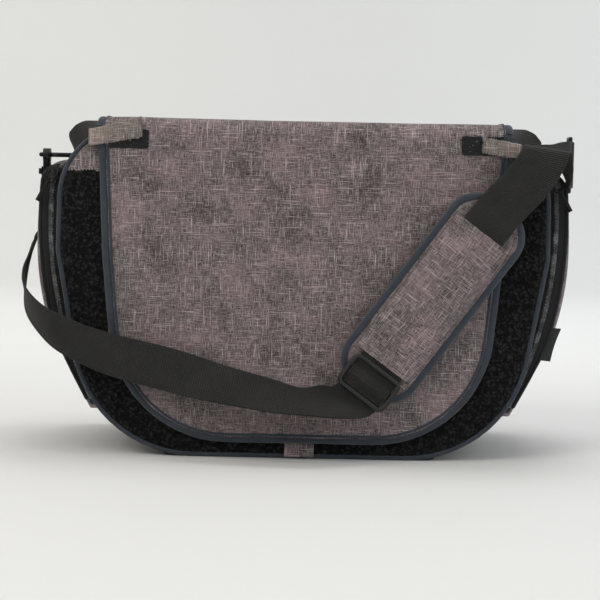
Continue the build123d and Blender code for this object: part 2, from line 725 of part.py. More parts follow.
PAIRS = {
    "end_panel": right_end_panel,
    "loop_patch": right_patch,
    "corner_tab": right_corner_tab,
    "tab_root": right_tab_root,
    "end_pocket": right_end_pocket,
    "pocket_tape": right_pocket_tape,
    "zip_chain": right_zip_chain,
    "pocket_piping": right_pocket_piping,
    "zip_slider": right_zip_slider,
    "zip_pull": right_zip_pull,
    "strap_ring": right_ring,
    "chape": right_chape,
}

os.makedirs("parts", exist_ok=True)
pieces = {name: make() for name, make in {**SINGLE, **RIGHT_ONLY}.items()}
for name, make in PAIRS.items():
    right = make()
    pieces["right_" + name] = right
    pieces["left_" + name] = mirrored(right)
for name, shape in pieces.items():
    export_step(shape, f"parts/{name}.step")
print(len(pieces), "pieces written")
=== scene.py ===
"""Soft pet carrier: cloth, fleece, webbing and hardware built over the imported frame."""

import bmesh
import bpy
import numpy as np
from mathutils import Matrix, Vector


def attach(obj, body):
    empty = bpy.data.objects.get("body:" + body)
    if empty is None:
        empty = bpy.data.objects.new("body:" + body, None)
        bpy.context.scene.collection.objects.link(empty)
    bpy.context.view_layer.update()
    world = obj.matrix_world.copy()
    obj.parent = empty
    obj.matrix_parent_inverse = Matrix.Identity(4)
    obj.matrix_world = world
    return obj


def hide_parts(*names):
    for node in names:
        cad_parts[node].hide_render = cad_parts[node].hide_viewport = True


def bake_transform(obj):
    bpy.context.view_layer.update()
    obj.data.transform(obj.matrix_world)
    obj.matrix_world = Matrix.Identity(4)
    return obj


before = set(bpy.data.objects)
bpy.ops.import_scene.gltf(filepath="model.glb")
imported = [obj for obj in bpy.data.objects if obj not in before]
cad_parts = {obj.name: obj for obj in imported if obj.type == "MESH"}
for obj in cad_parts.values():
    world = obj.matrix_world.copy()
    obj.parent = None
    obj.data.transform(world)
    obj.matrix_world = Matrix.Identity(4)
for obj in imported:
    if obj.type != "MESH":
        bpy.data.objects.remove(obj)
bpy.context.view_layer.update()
MM = 0.001

# Sizes in millimetres, as the frame has them

FRONT = -83.0
SEAM_Z = 231
BODY_CORNERS = ((170, 0, 100), (199, 165, 0), (197, 268, 60))
FLAP_CORNERS = ((146, 13, 95), (160, 160, 0), (165, 272, 0))
DOOR_CENTRE, DOOR_SIZE, DOOR_RADIUS = (0, 129), (228, 138), 24
FLAP_Y, FLAP_TOP, FLAP_BACK, FLAP_DROP, FLAP_END = -88.1, 270.7, 86.3, 234.0, 15.5
ZIP_X, ZIP_Z, ZIP_RADIUS, CHAIN_RADIUS = -120.0, 190.0, 330.0, 324.5
PAD_X, PAD_Z, PAD_TURN = 103.8, 133.8, np.radians(53.8)
PAD_LENGTH, PAD_WIDTH, PAD_CORNER = 186.0, 68.0, 26.0
SLEEVE_Y = -103.75
WEB_Y, WEB_HALF, WEB_THICK = -106.9, 19.0, 1.6
TAB_X, TAB_START = 162.0, 170
POCKET_FOOT, POCKET_SHOULDER, POCKET_PROUD = 36, 214, 5.0
POCKET_TOP_X, POCKET_TOP_RADIUS = 186, 24.0


# Numbers and lines


def cloud(points, size, seed):
    """Smooth noise from -1 to 1: random numbers on a lattice of that size, eased between its corners."""
    table = np.random.default_rng(seed).uniform(-1, 1, (32, 32, 32))
    q = points / size
    low = np.floor(q).astype(int)
    t = q - low
    t = t * t * (3 - 2 * t)
    total = np.zeros(points.shape[:-1])
    for corner in np.ndindex(2, 2, 2):
        share = np.prod(np.where(corner, t, 1 - t), axis=-1)
        i = (low + corner) % 32
        total += share * table[i[..., 0], i[..., 1], i[..., 2]]
    return total


def ease(value, low, high):
    """0 below low, 1 above high and a cubic S between them."""
    t = np.clip((value - low) / (high - low), 0, 1)
    return t * t * (3 - 2 * t)


def measure(line):
    """Distance along a line to each of its points."""
    steps = np.linalg.norm(np.diff(line, axis=0), axis=1)
    return np.concatenate([[0], np.cumsum(steps)])


def unit(vectors):
    """The same vectors with length 1."""
    return vectors / np.linalg.norm(vectors, axis=1)[:, None]


def points_of(*parts):
    """Points from their coordinates, each stretched to the shape of them all."""
    return np.stack(np.broadcast_arrays(*parts), -1)


def beside(along):
    """Directions in a plane turned a quarter turn clockwise."""
    return np.stack([along[:, 1], -along[:, 0]], 1)


def evenly(line, count):
    """The same line with its points at equal distances."""
    s = measure(line)
    t = np.linspace(0, s[-1], count)
    return np.stack([np.interp(t, s, line[:, k]) for k in range(line.shape[1])], 1)


def rounded(corners, closed=True, steps=14):
    """Corners (a, b, radius) joined by straight runs, with an arc of that radius in each corner."""
    points = np.array([c[:2] for c in corners], float)
    line = []
    last = len(points) - 1
    for i, radius in enumerate(c[2] for c in corners):
        if radius == 0 or (not closed and i in (0, last)):
            line.append(points[i][None])
            continue
        before = points[i - 1] - points[i]
        after = points[(i + 1) % len(points)] - points[i]
        before, after = before / np.linalg.norm(before), after / np.linalg.norm(after)
        half = np.arccos(np.clip(before @ after, -1, 1)) / 2
        middle = before + after
        centre = points[i] + middle / np.linalg.norm(middle) * radius / np.sin(half)
        start = points[i] + before * radius / np.tan(half) - centre
        end = points[i] + after * radius / np.tan(half) - centre
        turn = np.arctan2(start[0] * end[1] - start[1] * end[0], start @ end)
        angle = np.linspace(0, turn, steps)[:, None]
        side = np.array([-start[1], start[0]])
        line.append(centre + np.cos(angle) * start + np.sin(angle) * side)
    line = np.concatenate(line)
    return np.concatenate([line, line[:1]]) if closed else line


def mirrored_outline(corners, count):
    """A closed line from its right-hand corners, mirrored about X = 0 and started at the bottom's middle."""
    left = [(-x, z, r) for x, z, r in reversed(corners)]
    line = rounded([*corners, *left])[:-1]
    low = corners[0][1]
    start = np.argmin(np.abs(line[:, 1] - low) * 1000 - line[:, 0] * (line[:, 1] < low + 1))
    line = np.roll(line, -start, axis=0)
    line = np.concatenate([[[0, low]], line, [[0, low]]])
    return evenly(line, count)


def inset(line, distance):
    """A closed, counter-clockwise line moved inwards along its normal."""
    ring = line[:-1]
    along = unit(np.roll(ring, -1, 0) - np.roll(ring, 1, 0))
    moved = ring + np.stack([-along[:, 1], along[:, 0]], 1) * distance
    return np.concatenate([moved, moved[:1]])


def box_line(width, height, radius, centre=(0, 0), count=160):
    """A closed rectangle with round corners, started at the middle of its lower side."""
    w, h = width / 2, height / 2
    line = rounded([(w, -h, radius), (w, h, radius), (-w, h, radius), (-w, -h, radius)])[:-1]
    line = np.concatenate([[[0, -h]], line, [[0, -h]]])
    return evenly(line, count) + centre


def smooth_route(points, count):
    """A smooth curve through the points: cubic runs whose slopes at each point come from its neighbours."""
    points = np.array(points, float)
    s = measure(points[:, :3])
    slope = np.gradient(points, s, axis=0)
    t = np.linspace(0, s[-1], count)
    i = np.clip(np.searchsorted(s, t, "right") - 1, 0, len(s) - 2)
    h = (s[i + 1] - s[i])[:, None]
    u = ((t - s[i]) / (s[i + 1] - s[i]))[:, None]
    a, b = points[i], points[i + 1]
    return ((1 + 2 * u) * (1 - u) ** 2 * a + u * (1 - u) ** 2 * h * slope[i]
            + u * u * (3 - 2 * u) * b + u * u * (u - 1) * h * slope[i + 1])


def smoothed(line, times):
    """A line whose inner points are averaged with their neighbours."""
    for _ in range(times):
        line = np.concatenate([line[:1], (line[:-2] + 2 * line[1:-1] + line[2:]) / 4, line[-1:]])
    return line


# Meshes


def mesh_from(name, grids, finishes, merge=0.01):
    """One object from grids of points, each (points, cloth places in mm, finish number or an array per face).
    Points nearer than merge become one, which closes seams and turns an end's ring into a cap."""
    places, faces, cloth, kinds, start = [], [], [], [], 0
    for grid, uv, kind in grids:
        rows, cols = grid.shape[:2]
        index = np.arange(rows * cols).reshape(rows, cols)
        quads = np.stack([index[:-1, :-1], index[:-1, 1:], index[1:, 1:], index[1:, :-1]], -1).reshape(-1, 4)
        places.append(grid.reshape(-1, 3) * MM)
        cloth.append(uv.reshape(-1, 2)[quads.ravel()] * MM)
        faces.append(quads + start)
        kinds.append(np.broadcast_to(kind, (rows - 1, cols - 1)).ravel())
        start += rows * cols
    mesh = bpy.data.meshes.new(name)
    mesh.from_pydata(np.concatenate(places), [], np.concatenate(faces).tolist())
    mesh.uv_layers.new(name="cloth").data.foreach_set("uv", np.concatenate(cloth).ravel())
    mesh.polygons.foreach_set("material_index", np.concatenate(kinds).astype(np.int32))
    for finish in finishes:
        mesh.materials.append(finish)
    obj = bpy.data.objects.new(name, mesh)
    bpy.context.collection.objects.link(obj)
    work = bmesh.new()
    work.from_mesh(mesh)
    bmesh.ops.remove_doubles(work, verts=work.verts, dist=merge * MM)
    bmesh.ops.dissolve_degenerate(work, edges=work.edges, dist=merge * MM / 4)
    bmesh.ops.recalc_face_normals(work, faces=work.faces)
    work.to_mesh(mesh)
    work.free()
    mesh.polygons.foreach_set("use_smooth", np.ones(len(mesh.polygons), bool))
    mesh.update()
    return obj


def flipped(grids):
    """The same grids on the other side of X = 0."""
    return [(grid * (-1, 1, 1), uv, kind) for grid, uv, kind in grids]


def turned_back(grids):
    """The same grids on the other side of Y = 0."""
    return [(grid * (1, -1, 1), uv, kind) for grid, uv, kind in grids]


def lengths_uv(grid):
    """Cloth places of a grid: distance along its middle row and down its middle column."""
    rows, cols = grid.shape[:2]
    u, v = measure(grid[rows // 2]), measure(grid[:, cols // 2])
    return points_of(u[None, :], v[:, None])


def tube(path, wide, deep, reference=(0, 1, 0), sides=12, closed=True):
    """A round or oval section carried along a path: deep along the reference direction, wide across it. The
    ends of an open path are domed."""
    along = np.gradient(path, axis=0)
    if closed:
        along[0] = along[-1] = path[1] - path[-2]
    along = unit(along)
    across = unit(np.cross(along, np.array(reference, float)))
    up = np.cross(across, along)
    turn = np.linspace(0, 2 * np.pi, sides + 1)
    wide = np.broadcast_to(wide, len(path))[:, None, None]
    deep = np.broadcast_to(deep, len(path))[:, None, None]
    ring = (wide * np.cos(turn)[None, :, None] * across[:, None]
            + deep * np.sin(turn)[None, :, None] * up[:, None])
    grid = path[:, None] + ring
    size = float(np.mean(wide) + np.mean(deep)) * np.pi
    uv = points_of(measure(path)[:, None], turn[None] / (2 * np.pi) * size)
    if not closed:
        ends = [np.broadcast_to(path[k], grid[:1].shape) for k in (0, -1)]
        domes = [(grid[k] * 0.75 + path[k] * 0.25 + sign * along[k] * 0.5 * np.mean(deep))[None]
                 for k, sign in ((0, -1), (-1, 1))]
        tips = [ends[0] - along[0] * 0.7 * np.mean(deep), ends[1] + along[-1] * 0.7 * np.mean(deep)]
        grid = np.concatenate([tips[0], domes[0], grid, domes[1], tips[1]])
        uv = np.concatenate([uv[:1], uv[:1], uv, uv[-1:], uv[-1:]])
    return grid, uv, 0


def puff(line, place, front, back, crown=(0.0, 0.0), edge=1.0, rings=10, rough=None, kind=(0, 0)):
    """A padded panel: rings shrink from a closed outline to its middle on both faces, whose crown falls off
    towards the edge, and a quarter round joins each face to the rim. place makes points from the outline's
    two coordinates and a depth, and rough gives a face's lumps."""
    centre = (line.max(0) + line.min(0)) / 2
    reach = np.linalg.norm(line - centre, axis=1).mean()
    turn = np.linspace(0, np.pi / 2, 5)
    grids = []
    for face, (depth, other, rise) in enumerate(((front, back, crown[0]), (back, front, crown[1]))):
        sign = np.sign(depth - other)
        middle = (front + back) / 2
        inner = np.linspace(0, 1, rings)[:, None, None]
        r = inner * (1 - edge / reach)
        flat = centre + (line - centre)[None] * r
        d = depth + sign * rise * (1 - inner[..., 0] ** 4) + np.zeros(flat.shape[:2])
        rim_scale = (1 - edge / reach + edge / reach * np.sin(turn))[:, None, None]
        rim = centre + (line - centre)[None] * rim_scale
        rim_depth = depth - sign * np.minimum(edge, abs(depth - other) / 2) * (1 - np.cos(turn))
        last = centre + (line - centre)[None]
        flat = np.concatenate([flat, rim[1:], last])
        around = np.repeat(rim_depth[1:, None], flat.shape[1], 1)
        d = np.concatenate([d, around, np.full((1, flat.shape[1]), middle)])
        if rough is not None:
            fade = np.concatenate([1 - inner[:, 0, 0] ** 6, np.zeros(len(d) - rings)])[:, None]
            d = d + sign * fade * rough(flat, face)
        grid = place(flat[..., 0], flat[..., 1], d)
        grids.append((grid, flat.copy(), kind[face]))
    return grids


def facing_front(a, b, d):
    """Outline (X, Z) and depth Y."""
    return np.stack([a, d, b], -1)


def facing_up(a, b, d):
    """Outline (X, Y) and height Z."""
    return np.stack([a, b, d], -1)


def on_pad(u, v, y):
    """A place u along the strap from the pad's middle, up to the right, v across it and y deep."""
    c, s = np.cos(PAD_TURN), np.sin(PAD_TURN)
    u, v, y = np.broadcast_arrays(u, v, y)
    return np.stack([PAD_X + u * c + v * s, y, PAD_Z + u * s - v * c], -1)


def ribbon(centres, halves, thick, face_points=7):
    """Flat webbing: a thin section with round edges, carried along centre points and half-width vectors."""
    along = unit(np.gradient(centres, axis=0))
    normal = unit(np.cross(halves, along))
    width = np.linalg.norm(halves, axis=1).mean()
    face = np.linspace(-1, 1, face_points) * (1 - thick / 2 / width)
    turn = np.linspace(0, np.pi, 5)[1:-1]
    edge = 1 - thick / 2 / width + thick / 2 / width * np.sin(turn)
    w = np.concatenate([face, edge, face[::-1], -edge, face[:1]])
    h = np.concatenate([np.ones(face_points), np.cos(turn), -np.ones(face_points), -np.cos(turn), [1]])
    h = h * thick / 2
    grid = centres[:, None] + w[None, :, None] * halves[:, None]
    grid = grid + h[None, :, None] * normal[:, None]
    uv = points_of(measure(centres)[:, None], (w * width)[None])
    ends = [np.broadcast_to(grid[k].mean(0), grid[:1].shape) for k in (0, -1)]
    grid = np.concatenate([ends[0], grid, ends[1]])
    uv = np.concatenate([uv[:1], uv, uv[-1:]])
    return grid, uv, 0


def stitches(path, normal, pitch=3.4, length=2.3, thick=0.28, kind=0):
    """Sewing thread: short rods of four sides, sunk at both ends, one per pitch along a path on a surface."""
    total = measure(path)[-1]
    count = max(int(total / pitch), 2)
    middle = evenly(path, 2 * count + 1)[1::2]
    along = evenly(path, 2 * count + 1)
    along = unit(along[2::2] - along[:-1:2])
    normal = np.broadcast_to(np.array(normal, float), middle.shape)
    across = np.cross(along, normal)
    grids = []
    t = np.array([-0.5, -0.5, -0.25, 0.25, 0.5, 0.5])
    sink = np.array([-0.6, -0.6, 0.15, 0.15, -0.6, -0.6]) * thick
    size = np.array([0, 1, 1, 1, 1, 0]) * thick
    turn = np.linspace(0, 2 * np.pi, 5)
    for i in range(len(middle)):
        spine = middle[i] + t[:, None] * length * along[i] + sink[:, None] * normal[i]
        ring = np.cos(turn)[:, None] * across[i] + np.sin(turn)[:, None] * normal[i]
        grid = spine[:, None] + size[:, None, None] * ring[None]
        uv = points_of(t[:, None] * length, turn[None])
        grids.append((grid, uv, kind))
    return grids


# Finishes


class Value:
    """A shader number that can be used in expressions: each operator adds its Math node."""

    def __init__(self, finish, socket):
        self.finish, self.socket = finish, socket

    def math(self, operation, other=0.0, flip=False):
        """One Math node on this number and another, which comes first when flip is set."""
        a, b = (other, self) if flip else (self, other)
        return self.finish.node("ShaderNodeMath", {"operation": operation}, {0: a, 1: b})

    def __add__(self, other):
        return self.math("ADD", other)

    def __sub__(self, other):
        return self.math("SUBTRACT", other)

    def __rsub__(self, other):
        return self.math("SUBTRACT", other, flip=True)

    def __mul__(self, other):
        return self.math("MULTIPLY", other)

    __radd__ = __add__
    __rmul__ = __mul__

    def step(self, low, high):
        """0 below low, 1 above high, straight between."""
        settings = {"clamp": True}
        return self.finish.node("ShaderNodeMapRange", settings, {0: self, 1: low, 2: high, 3: 0.0, 4: 1.0})


class Finish:
    """A material being made: one method adds every node, and constants sit on the shader's own sockets."""

    def __init__(self, name, **constants):
        self.material = bpy.data.materials.new(name)
        self.material.use_nodes = True
        self.tree = self.material.node_tree
        self.shader = self.tree.nodes["Principled BSDF"]
        for socket, value in constants.items():
            self.shader.inputs[socket.replace("_", " ")].default_value = value

    def feed(self, socket, value):
        """Link a value into a socket, or set a constant on it."""
        if isinstance(value, Value):
            self.tree.links.new(value.socket, socket)
        else:
            socket.default_value = value

    def node(self, kind, settings=(), inputs=(), output=0):
        """One node: its settings first, a ramp's stops among them, then its sockets. Gives back an output."""
        node = self.tree.nodes.new(kind)
        for key, value in dict(settings).items():
            if key == "stops":
                ramp = node.color_ramp
                for i, (place, colour) in enumerate(value):
                    stop = ramp.elements[i] if i < 2 else ramp.elements.new(place)
                    stop.position, stop.color = place, colour
            else:
                setattr(node, key, value)
        for key, value in dict(inputs).items():
            self.feed(node.inputs[key], value)
        return Value(self, node.outputs[output])

    def cloth_place(self, u=1.0, v=1.0, turn=0.0):
        """Cloth places in metres, stretched by u and v and turned."""
        uv = self.node("ShaderNodeUVMap", {"uv_map": "cloth"})
        return self.node("ShaderNodeMapping", {}, {0: uv, 2: (0, 0, turn), 3: (u, v, 1)})

    def solid_place(self):
        """Places in the piece's own space, in metres."""
        return self.node("ShaderNodeTexCoord", {}, {}, 3)

    def noise(self, place, scale, detail=2.0, roughness=0.5):
        """Soft noise from 0 to 1, of that many lumps to a metre."""
        inputs = {"Vector": place, "Scale": scale, "Detail": detail, "Roughness": roughness}
        return self.node("ShaderNodeTexNoise", {}, inputs)

    def cells(self, place, scale):
        """Distance to the nearest of many scattered points."""
        return self.node("ShaderNodeTexVoronoi", {}, {"Vector": place, "Scale": scale})

    def wave(self, place, scale, distort=0.0, direction="X"):
        """Bands from 0 to 1 along a direction."""
        inputs = {"Vector": place, "Scale": scale, "Distortion": distort}
        return self.node("ShaderNodeTexWave", {"bands_direction": direction}, inputs)

    def mix(self, share, a, b):
        """Two colours mixed by a share."""
        settings = {"data_type": "RGBA"}
        return self.node("ShaderNodeMix", settings, {0: share, 6: a, 7: b}, 2)

    def done(self, colour, rough, height=None, depth=0.0003, strength=1.0, **more):
        """The material with its colour, roughness, bumps of that depth in metres, and any other socket."""
        self.feed(self.shader.inputs["Base Color"], colour)
        self.feed(self.shader.inputs["Roughness"], rough)
        if height is not None:
            inputs = {"Height": height, "Distance": depth, "Strength": strength}
            self.feed(self.shader.inputs["Normal"], self.node("ShaderNodeBump", {}, inputs))
        for socket, value in more.items():
            self.feed(self.shader.inputs[socket], value)
        return self.material


def tone(r, g, b):
    """A screen colour of 0 to 255 as the linear colour that a shader takes."""
    c = np.array([r, g, b], float) / 255
    linear = np.where(c <= 0.04045, c / 12.92, ((c + 0.055) / 1.055) ** 2.4)
    return (*[float(x) for x in linear], 1.0)


def heather(name, dark, pale, warm):
    """Slubby two-way heather: long thin noise in both thread directions on a dark ground, with a few long
    pale slubs, and patches that are a little warmer."""
    f = Finish(name, Sheen_Weight=0.06, Sheen_Roughness=0.5, Specular_IOR_Level=0.2)
    weft = f.noise(f.cloth_place(150, 1900), 1.0, 3.0, 0.68)
    warp = f.noise(f.cloth_place(1900, 150), 1.0, 3.0, 0.68)
    long_weft = f.noise(f.cloth_place(40, 1300), 1.0, 2.0)
    long_warp = f.noise(f.cloth_place(1300, 40), 1.0, 2.0)
    fine = f.noise(f.cloth_place(), 2200.0, 1.0)
    patch = f.noise(f.cloth_place(), 30.0, 3.0, 0.6)
    threads = weft.math("MAXIMUM", warp)
    slub = long_weft.math("MAXIMUM", long_warp).step(0.60, 0.70)
    light = (threads + (fine - 0.5) * 0.44 + (patch - 0.5) * 0.30).step(0.45, 0.80)
    light = (light * 0.72 + slub * 0.40).math("MINIMUM", 1.0)
    colour = f.mix(patch.step(0.42, 0.60), f.mix(light, dark, pale), f.mix(light, dark, warm))
    rough = 0.95 - 0.12 * light
    height = threads + fine * 0.5 + slub * 0.3
    return f.done(colour, rough, height, 0.0004, 0.6)


def fleece(name, dark, pale, scale=330.0):
    """Curly pile: warped cells give the curls, whose tops get a painted highlight, a paler colour."""
    f = Finish(name, Sheen_Weight=0.04, Sheen_Roughness=0.6, Specular_IOR_Level=0.12)
    place = f.solid_place()
    warp = f.noise(place, 160.0, 3.0, 0.6)
    drift = f.node("ShaderNodeTexNoise", {}, {"Vector": place, "Scale": 120.0}, 1)
    inputs = {0: drift, 1: (0.008,) * 3, 2: place}
    moved = f.node("ShaderNodeVectorMath", {"operation": "MULTIPLY_ADD"}, inputs)
    curls = f.cells(moved, scale)
    fuzz = f.noise(place, 1400.0, 2.0)
    top = 1 - curls
    # Painted highlight: the curl tops are mixed towards the pale colour; the fuzz and warp noise add tone
    # that differs at random.
    colour = f.mix((top * 0.9 + fuzz * 0.4 + warp * 0.5 - 0.75).step(0.12, 0.75), dark, pale)
    return f.done(colour, 0.97 - 0.08 * fuzz, top + fuzz * 0.4, 0.0028, 1.0)


def twill(name, dark, pale, pitch=0.9, shine=0.75, sheen=0.2):
    """Fine diagonal twill for bindings and tapes: slanted bands crossed by a thread noise."""
    f = Finish(name, Sheen_Weight=sheen, Sheen_Roughness=0.4, Specular_IOR_Level=0.35)
    bands = f.wave(f.cloth_place(1, 1, 0.8), 1000 / pitch / 3.2, 0.6)
    thread = f.noise(f.cloth_place(300, 1400), 1.0, 2.0)
    wear = f.noise(f.cloth_place(), 60.0, 4.0, 0.65)
    colour = f.mix((bands * 0.45 + thread * 0.45 + wear * 0.5 - 0.3).step(0.1, 0.85), dark, pale)
    return f.done(colour, shine + 0.15 * wear, bands + thread * 0.6, 0.0003, 0.8)


def ribbed(name, dark, pale):
    """Webbing: cords along its length crossed by ribs, so the face is a fine grid of bumps."""
    f = Finish(name, Sheen_Weight=0.03, Sheen_Roughness=0.45, Specular_IOR_Level=0.3)
    cords = f.wave(f.cloth_place(), 200.0, 0.0, "Y")
    ribs = f.wave(f.cloth_place(), 215.0, 0.5, "X")
    grain = f.noise(f.cloth_place(500, 1500), 1.0, 2.0)
    wear = f.noise(f.cloth_place(), 40.0, 4.0, 0.6)
    height = cords * 0.35 + ribs * 0.65 + grain * 0.3
    # Colour follows the bump height: raised cords and ribs are painted paler and the grooves darker, a
    # painted highlight and painted shade; the wear noise adds real tone.
    colour = f.mix((height * 0.7 + wear * 0.5 - 0.2).step(0.25, 1.0), dark, pale)
    return f.done(colour, 0.6 + 0.2 * wear, height, 0.0009, 0.9)


def moulded(name, dark, pale, rough, metal=0.0, grain=900.0, coat=0.0):
    """Moulded plastic or coated metal: faint orange-peel, with rubbed patches that are a little paler."""
    f = Finish(name, Metallic=metal, Coat_Weight=coat, Coat_Roughness=0.15)
    peel = f.noise(f.solid_place(), grain, 2.0)
    rub = f.noise(f.solid_place(), 120.0, 4.0, 0.6)
    colour = f.mix((rub + (peel - 0.5) * 0.4).step(0.45, 0.75), dark, pale)
    return f.done(colour, rough + 0.18 * rub, peel, 0.00008, 0.4)


def loop_tape(name):
    """Loop fastener: tiny matted loops with a few pale specks of lint."""
    f = Finish(name, Sheen_Weight=0.3, Specular_IOR_Level=0.2)
    loops = f.cells(f.solid_place(), 1100.0)
    specks = f.noise(f.solid_place(), 700.0, 3.0, 0.7)
    matted = f.mix(loops, tone(30, 31, 33), tone(12, 12, 13))
    colour = f.mix(specks.step(0.64, 0.70), matted, tone(150, 146, 140))
    return f.done(colour, 0.9 + 0.08 * loops, 1 - loops, 0.0005, 0.9)


def open_mesh(name):
    """Knitted door mesh: round holes round scattered points, cut out with alpha."""
    f = Finish(name, Specular_IOR_Level=0.4)
    holes = f.cells(f.cloth_place(), 420.0)
    grain = f.noise(f.cloth_place(1200, 1200), 1.0, 1.0)
    colour = f.mix(grain, tone(18, 18, 19), tone(38, 38, 40))
    return f.done(colour, 0.6 + 0.2 * grain, holes, 0.0004, 0.8, Alpha=holes.step(0.34, 0.40))


HEATHER = heather("heather_cloth", tone(50, 40, 43), tone(218, 206, 203), tone(206, 184, 186))
TAB_CLOTH = heather("tab_cloth", tone(82, 73, 70), tone(218, 207, 198), tone(206, 190, 180))
# The pale colours of the curly and bed fleeces are a painted highlight on the curl tops.
FLEECE = fleece("curly_fleece", tone(2, 2, 3), tone(56, 56, 58))
BED = fleece("bed_fleece", tone(60, 56, 56), tone(120, 115, 112), 260.0)
# The navy binding's pale colour is a painted sheen highlight, spread over its twill bands, threads and wear
# patches.
NAVY = twill("navy_binding", tone(26, 30, 36), tone(72, 80, 92))
TAPE = twill("black_tape", tone(8, 8, 10), tone(34, 34, 37), 0.7, 0.6, 0.08)
LINING = twill("lining", tone(28, 29, 31), tone(58, 59, 62), 0.5, 0.5, 0.05)
# The webbing's pale colour is a painted highlight on the raised ribs.
WEBBING = ribbed("webbing", tone(2, 2, 2), tone(62, 61, 59))
# The pale colour of the pad's fleece back is a painted highlight on its curl tops.
PADDING = fleece("pad_back", tone(10, 10, 11), tone(44, 44, 46), 520.0)
THREAD = twill("thread", tone(104, 96, 94), tone(176, 166, 158), 0.4, 0.7, 0.1)
LOOPS = loop_tape("loop_tape")
MESH = open_mesh("door_mesh_cloth")
BLACK = moulded("black_plastic", tone(4, 4, 5), tone(13, 13, 14), 0.34)
# Painted highlight: the zip teeth are coloured mid to pale grey, lifted so they stand out in the shade where
# they sit.
COIL = moulded("zip_teeth", tone(62, 62, 64), tone(136, 136, 138), 0.3)
METAL = moulded("dark_metal", tone(26, 27, 29), tone(62, 63, 66), 0.3, metal=0.9)
# The cord's pale colour is a painted highlight on the raised ribs.
CORD = ribbed("black_cord", tone(12, 12, 12), tone(60, 58, 56))
BOARD = moulded("board", tone(30, 30, 31), tone(58, 58, 58), 0.55)


# Camera, floor and light


def stage():
    """A pale floor that curves up all round into a backdrop, a camera square to the front, four soft lights
    on the bag and two that tint the backdrop, warm on the left and cool on the right."""
    turn = np.linspace(0, np.pi / 2, 16)
    flat, radius, wall = 1900, 900, 4200
    out = np.concatenate([[0, 400, 1100], flat + radius * np.sin(turn), [flat + radius]])
    rise = np.concatenate([[0, 0, 0], radius * (1 - np.cos(turn)), [wall]])
    round_ = np.linspace(0, 2 * np.pi, 65)[:, None]
    grid = points_of(out * np.cos(round_), out * np.sin(round_), rise)
    f = Finish("pale_floor", Specular_IOR_Level=0.2)
    soft = f.noise(f.solid_place(), 1.5, 2.0)
    paper = f.done(f.mix(soft, tone(216, 216, 215), tone(222, 222, 221)), 0.8 + 0.1 * soft)
    sweep = mesh_from("studio_floor", [(grid, lengths_uv(grid), 0)], [paper])
    camera = bpy.data.objects.new("camera", bpy.data.cameras.new("camera"))
    camera.data.sensor_width, camera.data.lens = 36.0, 101.0
    camera.data.clip_end = 20.0
    tilt, distance, roll = np.radians(4.5), 1.35, np.radians(1.2)
    target = Vector((-0.0016, -0.090, 0.1296))
    camera.location = target + Vector((0, -np.cos(tilt), np.sin(tilt))) * distance
    camera.rotation_mode = "QUATERNION"
    camera.rotation_quaternion = (target - camera.location).to_track_quat("-Z", "Y")
    camera.rotation_mode = "XYZ"
    camera.rotation_euler.rotate_axis("Z", roll)
    bpy.context.collection.objects.link(camera)
    bpy.context.scene.camera = camera
    bag, left, right = (0, 0, 0.12), (-0.75, 2.8, 0.5), (0.75, 2.8, 0.5)
    lights = (  # name, place, aim, size, power, colour
        ("key", (-1.1, -1.4, 1.7), bag, 1.3, 21, (1.0, 0.96, 0.88)),
        ("fill", (1.5, -1.2, 1.1), bag, 1.4, 10, (0.86, 0.93, 1.0)),
        ("top", (0.1, 0.15, 1.9), bag, 1.0, 13, (1, 1, 1)),
        ("rim", (0.2, 1.5, 1.3), bag, 1.3, 4, (1, 1, 1)),
        ("wall_left", (-1.5, 0.9, 1.2), left, 1.0, 11, (1.0, 0.94, 0.8)),
        ("wall_right", (1.5, 0.9, 1.2), right, 1.0, 12, (0.78, 0.88, 1.0)),
    )
    for name, place, aim, size, power, colour in lights:
        lamp = bpy.data.objects.new(name, bpy.data.lights.new(name, "AREA"))
        lamp.data.size, lamp.data.energy, lamp.data.color = size, power, colour
        lamp.location = place
        lamp.rotation_euler = (Vector(aim) - Vector(place)).to_track_quat("-Z", "Y").to_euler()
        bpy.context.collection.objects.link(lamp)
    world = bpy.data.worlds.new("studio")
    world.use_nodes = True
    sky = world.node_tree.nodes["Background"]
    sky.inputs["Color"].default_value = (1, 1, 1, 1)
    sky.inputs["Strength"].default_value = 0.58
    bpy.context.scene.world = world
    bpy.context.scene.view_settings.view_transform = "Standard"


stage()


# Body


BODY = mirrored_outline(BODY_CORNERS, 641)
WINDOW = box_line(DOOR_SIZE[0] + 4, DOOR_SIZE[1] + 4, DOOR_RADIUS + 2, DOOR_CENTRE, 641)


